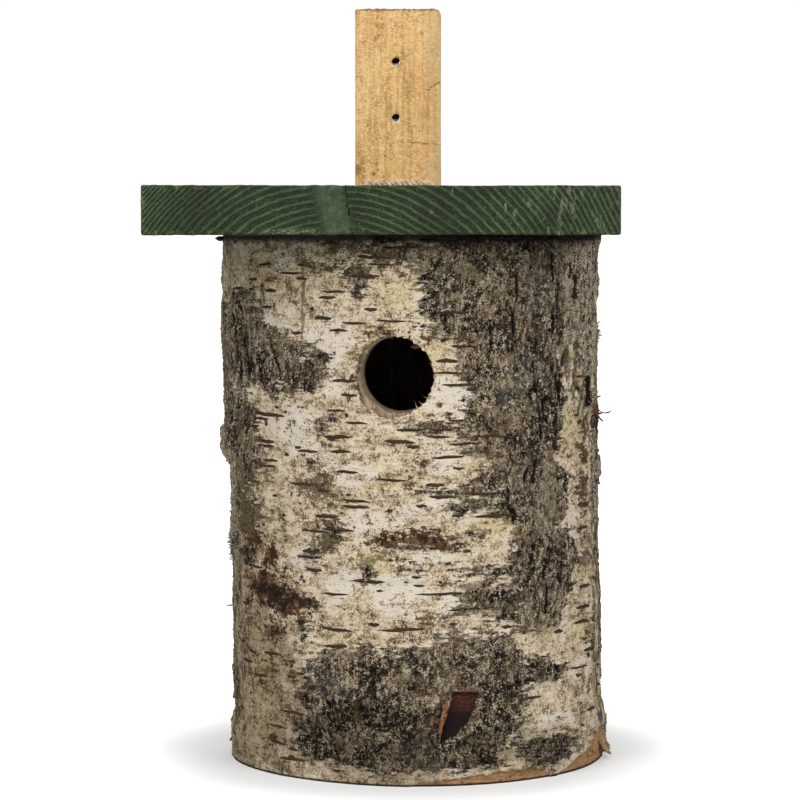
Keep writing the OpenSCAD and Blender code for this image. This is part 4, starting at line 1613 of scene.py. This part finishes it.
# Dark marks on the batten's front: x and z of the middle, radius, and strength from 0 to 1
BATTEN_MARKS = [
    (-18.4, 257.4, 1.3, 0.9), (-17.2, 261.9, 0.9, 0.8), (-13, 265.9, 0.8, 0.8), (-26, 259, 3.4, 0.6),
    (-8.3, 317.4, 0.6, 0.7), (4, 322.8, 1.6, 0.5), (-10.3, 328.9, 1.5, 0.35), (5, 285, 4, 0.3),
    (-14, 280, 2.6, 0.3),
]

# Scratches across its front: x and z of both ends, and strength
SCRATCHES = [(6, 296, 12.8, 300.5, 0.95), (-7, 272.5, 12.8, 271, 0.95), (-20, 257, -13, 268, 0.3)]


def scratch_line(f, x, z, fine, saw, ends):
    """A thin broken line across the batten's front."""
    x0, z0, x1, z1 = ends
    slope = (z1 - z0) / (x1 - x0)
    line = f.math("MULTIPLY_ADD", f.math("SUBTRACT", x, x0 * MM), slope, z0 * MM)
    gap = f.math("ABSOLUTE", f.blend((fine, 1.2 * MM), start=f.math("SUBTRACT", z, line)))
    left, right = f.step(x, (x0 - 0.5) * MM, x0 * MM), f.step(x, (x1 + 0.5) * MM, x1 * MM)
    return f.times(f.step(gap, 0.7 * MM, 0.15 * MM), left, right, f.step(saw, 0.44, 0.52))


def dark_spot(f, x, z, radius, saw):
    """A ragged round mark on the batten's front."""
    gap = f.add("ShaderNodeVectorMath", operation="DISTANCE")
    f.feed(gap.inputs[0], f.place)
    gap.inputs[1].default_value = (x * MM, BATTEN_LOW[1] * MM, z * MM)
    ragged = f.blend((saw, 2.4 * MM), start=gap.outputs["Value"])
    return f.step(ragged, radius * MM, 0.3 * radius * MM)


def pine_finish(colours):
    """Rough-sawn pine, with fine grain along it, reddish late wood and small knots."""
    f = Finish("pine_batten", colours)
    fine = f.noise(0.9, stretch=(1, 1, 3), detail=5, rough=0.7)
    grain_up = f.noise(2.0, stretch=(1, 1, 26), detail=7, rough=0.68)
    late = f.noise(5.5, stretch=(1, 1, 40), detail=3, rough=0.5, shift=(4, 1, 2))
    broad = f.noise(24, stretch=(1, 1, 2.5), detail=4)
    saw = f.noise(0.8, stretch=(1.6, 1, 1), detail=5, rough=0.75, shift=(5, 5, 1))
    cloudy = f.noise(9, stretch=(1, 1, 1.6), detail=7, rough=0.72, shift=(1, 8, 3))
    dots = f.blend((cloudy, 0.5), start=saw)
    colour = f.layers(
        f.ramp(grain_up, 0.34, 0.6, "pine_dark", "pine"),
        (late, 0.54, 0.64, "pine_red", 0.35),
        (broad, 0.45, 0.68, "pine_pale", 0.4),
        (fine, 0.52, 0.62, "pine_dark", 0.35),
        (cloudy, 0.5, 0.62, "pine_shade", 0.5),
        (dots, 0.53, 0.6, "pine_shade", 0.6),
        (dots, 0.62, 0.66, "pine_knot", 0.7),
        (saw, 0.46, 0.4, "pine_pale", 0.6),
        (f.noise(1.6, detail=3, shift=(2, 9, 9)), 0.7, 0.73, "pine_knot", 1.0),
    )
    x, _, z = f.axes(f.place)
    dull = f.times(f.step(x, 5 * MM, 8 * MM), f.step(f.math("ADD", broad, cloudy), 0.8, 1.1))
    colour = f.over(colour, dull, "pine_dull", 0.5)
    for *ends, strength in SCRATCHES:
        colour = f.over(colour, scratch_line(f, x, z, fine, saw, ends), "pine_knot", strength)
    for mark_x, mark_z, radius, strength in BATTEN_MARKS:
        colour = f.over(colour, dark_spot(f, mark_x, mark_z, radius, saw), "pine_knot", strength)
    sawn_top = f.blend((saw, 3 * MM), start=z)
    top = BATTEN_HIGH[2] * MM
    colour = f.layers(colour, (sawn_top, top - 1.8 * MM, top - 0.5 * MM, "pine_knot", 0.8))
    knot = f.less(f.step(f.cells(34, stretch=(1, 1, 1.4), shift=(11, 3, 6)), 0.03, 0.07))
    colour = f.over(colour, knot, "pine_knot", 0.7)
    height = f.math("MULTIPLY_ADD", fine, 0.6, grain_up)
    return f.done(colour, 0.75, f.bump(height, 0.45), 0.25)


# ---------------------------------------------------------------- rope

TAIL_END = 76.0  # how far back the rope's tails reach into the wall, in millimetres
TAIL_Z = 196.0
TURN_R, BEND_R = 10.0, 3.5  # radii of the rope's turns inside the log and over the roof
ROUTE_STEP = 0.5


def rope_route():
    """Middle line of the rope from one hole in the back wall to the other, over the roof."""
    leg_foot, leg_top, turn_y = TAIL_Z + TURN_R, ROPE_TOP - BEND_R, ROPE_Y + TURN_R
    points = []

    def line(a, b):
        a, b = Vector(a), Vector(b)
        count = max(2, round((b - a).length / ROUTE_STEP))
        points.extend(a.lerp(b, k / count) for k in range(count))

    def bow(centre, first, second, radius):
        """A quarter turn about a centre, from its first direction to its second."""
        centre, first, second = Vector(centre), Vector(first), Vector(second)
        count = max(6, round(radius * 1.57 / ROUTE_STEP))
        for k in range(count):
            t = math.pi / 2 * k / count
            points.append(centre + first * radius * math.cos(t) + second * radius * math.sin(t))

    line((ROPE_LEFT, TAIL_END, TAIL_Z), (ROPE_LEFT, turn_y, TAIL_Z))
    bow((ROPE_LEFT, turn_y, leg_foot), (0, 0, -1), (0, -1, 0), TURN_R)
    line((ROPE_LEFT, ROPE_Y, leg_foot), (ROPE_LEFT, ROPE_Y, leg_top))
    bow((ROPE_LEFT + BEND_R, ROPE_Y, leg_top), (-1, 0, 0), (0, 0, 1), BEND_R)
    line((ROPE_LEFT + BEND_R, ROPE_Y, ROPE_TOP), (ROPE_RIGHT - BEND_R, ROPE_Y, ROPE_TOP))
    bow((ROPE_RIGHT - BEND_R, ROPE_Y, leg_top), (0, 0, 1), (1, 0, 0), BEND_R)
    line((ROPE_RIGHT, ROPE_Y, leg_top), (ROPE_RIGHT, ROPE_Y, leg_foot))
    bow((ROPE_RIGHT, turn_y, leg_foot), (0, -1, 0), (0, 0, -1), TURN_R)
    line((ROPE_RIGHT, turn_y, TAIL_Z), (ROPE_RIGHT, TAIL_END, TAIL_Z))
    points.append(Vector((ROPE_RIGHT, TAIL_END, TAIL_Z)))
    return np.array(points)


def along_route(route, flat):
    """Places of flat points: x and y across the rope, z along it."""
    steps = np.linalg.norm(np.diff(route, axis=0), axis=1)
    far = np.concatenate([[0], np.cumsum(steps)])
    ahead = np.gradient(route, far, axis=0)
    ahead /= np.linalg.norm(ahead, axis=1, keepdims=True)
    # Sideways directions are carried along the route without twisting
    side = np.zeros_like(route)
    side[0] = (1, 0, 0)
    for k in range(1, len(route)):
        lean = side[k - 1] - ahead[k] * np.dot(side[k - 1], ahead[k])
        side[k] = lean / np.linalg.norm(lean)
    def found(part):
        return np.stack([np.interp(flat[:, 2], far, part[:, k]) for k in range(3)], 1)

    up = np.cross(ahead, side)
    return (found(route) + found(side) * flat[:, :1] + found(up) * flat[:, 1:2]) * MM


def twisted_strand(number, length, strand, lay):
    """One of the rope's three strands along a straight rope, with a slightly uneven surface."""
    offset = 0.98 * strand
    bm = tube(10, 1, 1, length, round(length / 0.55))
    for vert in bm.verts:
        s = vert.co.z
        lead = 2 * math.pi * (s / lay + number / 3)
        round_it = math.atan2(vert.co.y, vert.co.x)
        thick = strand * (1 + 0.05 * math.sin(s * 0.9 + number) + 0.05 * math.sin(4 * round_it + 2.6 * s))
        vert.co.x = offset * math.cos(lead) + thick * math.cos(round_it + lead)
        vert.co.y = offset * math.sin(lead) + thick * math.sin(round_it + lead)
    return bm


def stray_fibre(bm, length, rng):
    """A loose fibre that stands off a straight rope."""
    turn, s = rng.uniform(0, 2 * math.pi), rng.uniform(2, length - 4)
    root = Vector((1.8 * math.cos(turn), 1.8 * math.sin(turn), s))
    lift, run = rng.uniform(0.2, 0.7), rng.uniform(1.2, 3.2)
    made = bmesh.ops.create_cone(bm, segments=3, radius1=0.07, radius2=0.02, depth=1, cap_ends=True)["verts"]
    for vert in made:
        t = vert.co.z + 0.5
        out = Vector((math.cos(turn + 0.4 * t), math.sin(turn + 0.4 * t), 0)) * lift * t
        vert.co = root + Vector((vert.co.x, vert.co.y, 0)) + out + Vector((0, 0, run * t))


def rope_piece(material, settings):
    """A twisted rope of three strands, with stray fibres."""
    route = rope_route()
    length = np.linalg.norm(np.diff(route, axis=0), axis=1).sum()
    bm = bmesh.new()
    for number in range(3):
        join(bm, twisted_strand(number, length, settings.strand / MM, settings.lay / MM))
    rng = np.random.default_rng(12)
    for _ in range(settings.stray):
        stray_fibre(bm, length, rng)
    bmesh.ops.recalc_face_normals(bm, faces=bm.faces)
    piece = settle(bm, "tie_rope", material, None, lambda p: along_route(route, p))
    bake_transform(piece)
    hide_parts("rope_bight", "rope_tail_left", "rope_tail_right")
    return piece


def rope_finish(colours):
    """Pale natural fibre, browner where its noise is low."""
    f = Finish("rope_fibre", colours)
    fine = f.noise(0.35, detail=4, rough=0.7)
    small = f.noise(2.5, detail=4)
    tone = f.math("MULTIPLY_ADD", small, 0.5, f.times(fine, 0.6))
    f.shader.inputs["Sheen Weight"].default_value = 0.2
    return f.done(f.ramp(tone, 0.42, 0.66, "rope_dark", "rope"), 0.9, f.bump(fine, 0.25), 0.2)


# ---------------------------------------------------------------- bored wood and fixings

BORE_PITCH = 3.2  # distance between the marks that boring left in the wood, in millimetres


def wood_finish(name, colours, ring_gap, axis_rings=True):
    """Bare birch: rings on its end grain, bore marks and streaks on its upright faces."""
    f = Finish(name, colours)
    fine = f.noise(1.0, detail=5, rough=0.7)
    broad = f.noise(14, detail=5, rough=0.6)
    x, y, z = f.axes(f.place)
    flat = f.step(f.math("ABSOLUTE", f.facing_up()), 0.6, 0.8)
    if axis_rings:
        far = f.math("SQRT", f.math("ADD", f.times(x, x), f.times(y, y)))
    else:
        far = f.math("MULTIPLY_ADD", y, 0.12, x)
    count = f.math("MULTIPLY_ADD", broad, 1.6, f.times(far, 1 / ring_gap))
    ring = f.step(f.math("PINGPONG", count, 0.5), 0.1, 0.45)
    up = f.noise(1.8, stretch=(1, 1, 16), detail=6, rough=0.68)
    turns = f.math("MULTIPLY_ADD", broad, 1.5, f.times(z, 1 / (BORE_PITCH * MM)))
    bored = f.step(f.math("PINGPONG", turns, 0.5), 0.05, 0.4)
    upright = f.math("MULTIPLY_ADD", bored, 0.3, f.step(up, 0.36, 0.66))
    lines = f.pick(flat, upright, ring)
    colour = f.layers(
        f.mix(f.math("MINIMUM", lines, 1.0), colours["wood_dark"], colours["wood"]),
        (broad, 0.5, 0.7, "wood_stain", 0.5),
        (fine, 0.56, 0.7, "wood_dark", 0.5),
    )
    height = f.math("MULTIPLY_ADD", lines, 0.6, fine)
    return f.done(colour, 0.8, f.bump(height, 0.4), 0.2)


def steel_finish(name, colours, rust_level, shine):
    """Dull zinc, rusty where its noise is over a level."""
    f = Finish(name, colours)
    fine = f.noise(0.8, detail=5, rough=0.7)
    rust = f.step(f.noise(2.2, detail=5, rough=0.7, shift=(3, 3, 3)), rust_level, rust_level + 0.14)
    colour = f.over(f.ramp(fine, 0.35, 0.65, "steel_dark", "steel"), rust, "steel_rust", 0.95)
    f.feed(f.shader.inputs["Metallic"], f.math("SUBTRACT", 0.9, f.times(rust, 0.9)))
    rough = f.math("MULTIPLY_ADD", rust, 0.3, f.step(fine, 0.3, 0.7, 0.35, 0.6))
    return f.done(colour, rough, f.bump(fine, 0.15), shine)


# ---------------------------------------------------------------- stage

WHITE = (1, 1, 1, 1)
SENSOR = 36  # width of the camera's sensor, in millimetres
SHOT_PLACE = (-0.0061, -1.2967, 0.2387)
SHOT_TILT = 3.62  # how far the camera looks down, in degrees
LAMP_AIM = Vector((0, 0, 0.16))

# Lamps of the stage: place and width in metres
LAMPS = {
    "left_box": ((-0.75, -1.05, 0.75), 0.6),
    "right_box": ((0.85, -1.0, 0.65), 0.6),
    "top_box": ((0.0, -0.5, 1.3), 0.9),
    "back_box": ((0.2, 1.2, 0.8), 0.7),
}


def white_room(strength):
    """A world that lights with a given strength and shows white."""
    world = bpy.data.worlds.new("studio")
    world.use_nodes = True
    sky = world.node_tree
    lit = sky.nodes["Background"]
    lit.inputs["Strength"].default_value = strength
    lit.inputs["Color"].default_value = WHITE
    seen = sky.nodes.new("ShaderNodeBackground")
    seen.inputs["Color"].default_value = WHITE
    ray = sky.nodes.new("ShaderNodeLightPath")
    pick = sky.nodes.new("ShaderNodeMixShader")
    sky.links.new(ray.outputs["Is Camera Ray"], pick.inputs["Fac"])
    sky.links.new(lit.outputs[0], pick.inputs[1])
    sky.links.new(seen.outputs[0], pick.inputs[2])
    sky.links.new(pick.outputs[0], sky.nodes["World Output"].inputs["Surface"])
    return world


def paper_floor(colour):
    """A pale floor that glows a little more away from the nest box, so that it fades into the room. Only the
    camera sees that glow, and its dimming near the box is a painted shadow; a faint glow for every ray also
    lights the box from below as painted light.
    """
    bm = bmesh.new()
    bmesh.ops.create_grid(bm, x_segments=1, y_segments=1, size=40)
    f = Finish("floor_paper")
    f.shader.inputs["Emission Color"].default_value = WHITE
    far = f.add("ShaderNodeVectorMath", operation="LENGTH")
    f.feed(far.inputs[0], f.place)
    # Painted shadow: the floor's glow for the camera is dimmer near the nest box
    glow_with_painted_shadow = f.step(far.outputs["Value"], 0.085, 0.16, 0.24, 0.95)
    seen = f.add("ShaderNodeLightPath").outputs["Is Camera Ray"]
    f.feed(f.shader.inputs["Emission Strength"], f.math("MULTIPLY_ADD", seen, glow_with_painted_shadow, 0.08))
    floor = settle(bm, "floor", f.done((*colour, 1.0), 0.9, None, 0.0), None)


def lamp(name, place, size, power):
    """A square lamp that looks at the nest box."""
    light = bpy.data.lights.new(name, "AREA")
    light.size = size
    light.energy = power
    holder = bpy.data.objects.new(name, light)
    holder.location = place
    holder.rotation_euler = (LAMP_AIM - Vector(place)).to_track_quat("-Z", "Y").to_euler()
    bpy.context.scene.collection.objects.link(holder)


def camera_shot(lens):
    """The camera in front of the nest box."""
    camera = bpy.data.cameras.new("camera")
    camera.lens = lens
    camera.sensor_width = SENSOR
    shot = bpy.data.objects.new("camera", camera)
    shot.location = SHOT_PLACE
    shot.rotation_euler = (math.radians(90 - SHOT_TILT), 0, 0)
    bpy.context.scene.collection.objects.link(shot)
    return shot


# ---------------------------------------------------------------- operators

class NESTBOX_OT_bark(bpy.types.Operator):
    """Wraps the log in birch bark"""

    bl_idname = "nestbox.bark"
    bl_label = "Bark"

    def execute(self, context):
        settings = context.scene.nestbox.bark
        material = bark_finish(colours_of(settings))
        for side, start in (("front", -135), ("right", -45), ("back", 45), ("left", 135)):
            spacing = settings.back_spacing if side == "back" else settings.spacing
            piece = wrapped_bark("bark_" + side, start, start + 90, spacing / MM, side == "front", material)
            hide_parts("bark", "rough_bark_" + side)
        return {"FINISHED"}


class NESTBOX_OT_growth(bpy.types.Operator):
    """Adds lenticels, loose scraps of bark, moss and the entrance's splinters"""

    bl_idname = "nestbox.growth"
    bl_label = "Lenticels and loose bark"

    def execute(self, context):
        settings = context.scene.nestbox.growth
        colours = colours_of(settings)
        lenticels(lenticel_finish(colours))
        loose = scrap_finish("loose_bark", colours, "loose", "loose_dark")
        torn_pieces(loose, colours)
        flakes_and_moss(loose, scrap_finish("moss", colours, "moss", "moss_dark"), settings)
        splinters(scrap_finish("splinter_wood", colours, "splinter", "splinter_dark"))
        return {"FINISHED"}


class NESTBOX_OT_roof(bpy.types.Operator):
    """Shapes the painted roof board"""

    bl_idname = "nestbox.roof"
    bl_label = "Roof board"

    def execute(self, context):
        settings = context.scene.nestbox.roof
        roof_piece(roof_finish(colours_of(settings)), settings)
        return {"FINISHED"}


class NESTBOX_OT_batten(bpy.types.Operator):
    """Shapes the pine batten"""

    bl_idname = "nestbox.batten"
    bl_label = "Batten"

    def execute(self, context):
        settings = context.scene.nestbox.batten
        colours = colours_of(settings)
        batten_piece(pine_finish(colours), settings)
        hole_fibres(fibre_shade_finish(colours), settings)
        return {"FINISHED"}


class NESTBOX_OT_rope(bpy.types.Operator):
    """Lays the twisted rope over the roof and into the back wall"""

    bl_idname = "nestbox.rope"
    bl_label = "Rope"

    def execute(self, context):
        settings = context.scene.nestbox.rope
        rope_piece(rope_finish(colours_of(settings)), settings)
        return {"FINISHED"}


class NESTBOX_OT_finishes(bpy.types.Operator):
    """Finishes the bored log, its floor disc, the nails and the screws"""

    bl_idname = "nestbox.finishes"
    bl_label = "Wood and fixings"

    def execute(self, context):
        settings = context.scene.nestbox.finishes
        colours, ring_gap = colours_of(settings), settings.ring_gap
        log = wood_finish("log_wood", colours, ring_gap)
        disc = wood_finish("disc_wood", colours, ring_gap, axis_rings=False)
        screw = steel_finish("screw_steel", colours, 0.48, 0.5)
        nail = steel_finish("nail_steel", colours, 0.3, 0.08)
        for name, node in frame["nodes"].items():
            if name == "log_wall":
                finish = log
            elif name == "floor_disc":
                finish = disc
            elif "nail" in name:
                finish = nail
            elif "screw" in name:
                finish = screw
            else:
                continue
            node.data.materials.clear()
            node.data.materials.append(finish)
        return {"FINISHED"}


class NESTBOX_OT_stage(bpy.types.Operator):
    """Sets the pale floor, the soft lights and the camera"""

    bl_idname = "nestbox.stage"
    bl_label = "Stage"

    def execute(self, context):
        scene, settings = context.scene, context.scene.nestbox.stage
        scene.view_settings.view_transform = "Standard"
        scene.world = white_room(settings.sky)
        paper_floor(settings.floor)
        for name, (place, size) in LAMPS.items():
            lamp(name, place, size, getattr(settings, name))
        scene.camera = camera_shot(settings.lens)
        return {"FINISHED"}


class NESTBOX_PT_sidebar(bpy.types.Panel):
    """Lists the pieces of the nest box, with their sizes and colours"""

    bl_idname = "NESTBOX_PT_sidebar"
    bl_label = "Log nest box"
    bl_space_type = "VIEW_3D"
    bl_region_type = "UI"
    bl_category = "Nest box"

    def draw(self, context):
        for part in ("stage", "bark", "growth", "roof", "batten", "rope", "finishes"):
            box = self.layout.box()
            box.operator("nestbox." + part)
            settings = getattr(context.scene.nestbox, part)
            for key in settings.bl_rna.properties.keys():
                if key not in ("rna_type", "name"):
                    box.prop(settings, key)


CLASSES = (
    NESTBOX_PG_bark, NESTBOX_PG_growth, NESTBOX_PG_roof, NESTBOX_PG_batten, NESTBOX_PG_rope,
    NESTBOX_PG_finishes, NESTBOX_PG_stage, NESTBOX_PG_settings,
    NESTBOX_OT_bark, NESTBOX_OT_growth, NESTBOX_OT_roof, NESTBOX_OT_batten, NESTBOX_OT_rope,
    NESTBOX_OT_finishes, NESTBOX_OT_stage, NESTBOX_PT_sidebar,
)


def register():
    for kind in CLASSES:
        bpy.utils.register_class(kind)
    bpy.types.Scene.nestbox = bpy.props.PointerProperty(
        type=NESTBOX_PG_settings, name="Log nest box", description="Sizes and colours of the nest box",
    )


def unregister():
    del bpy.types.Scene.nestbox
    for kind in reversed(CLASSES):
        bpy.utils.unregister_class(kind)


def main():
    register()
    bpy.ops.nestbox.stage()
    bpy.ops.nestbox.bark()
    bpy.ops.nestbox.growth()
    bpy.ops.nestbox.roof()
    bpy.ops.nestbox.batten()
    bpy.ops.nestbox.rope()
    bpy.ops.nestbox.finishes()


if __name__ == "__main__":
    main()
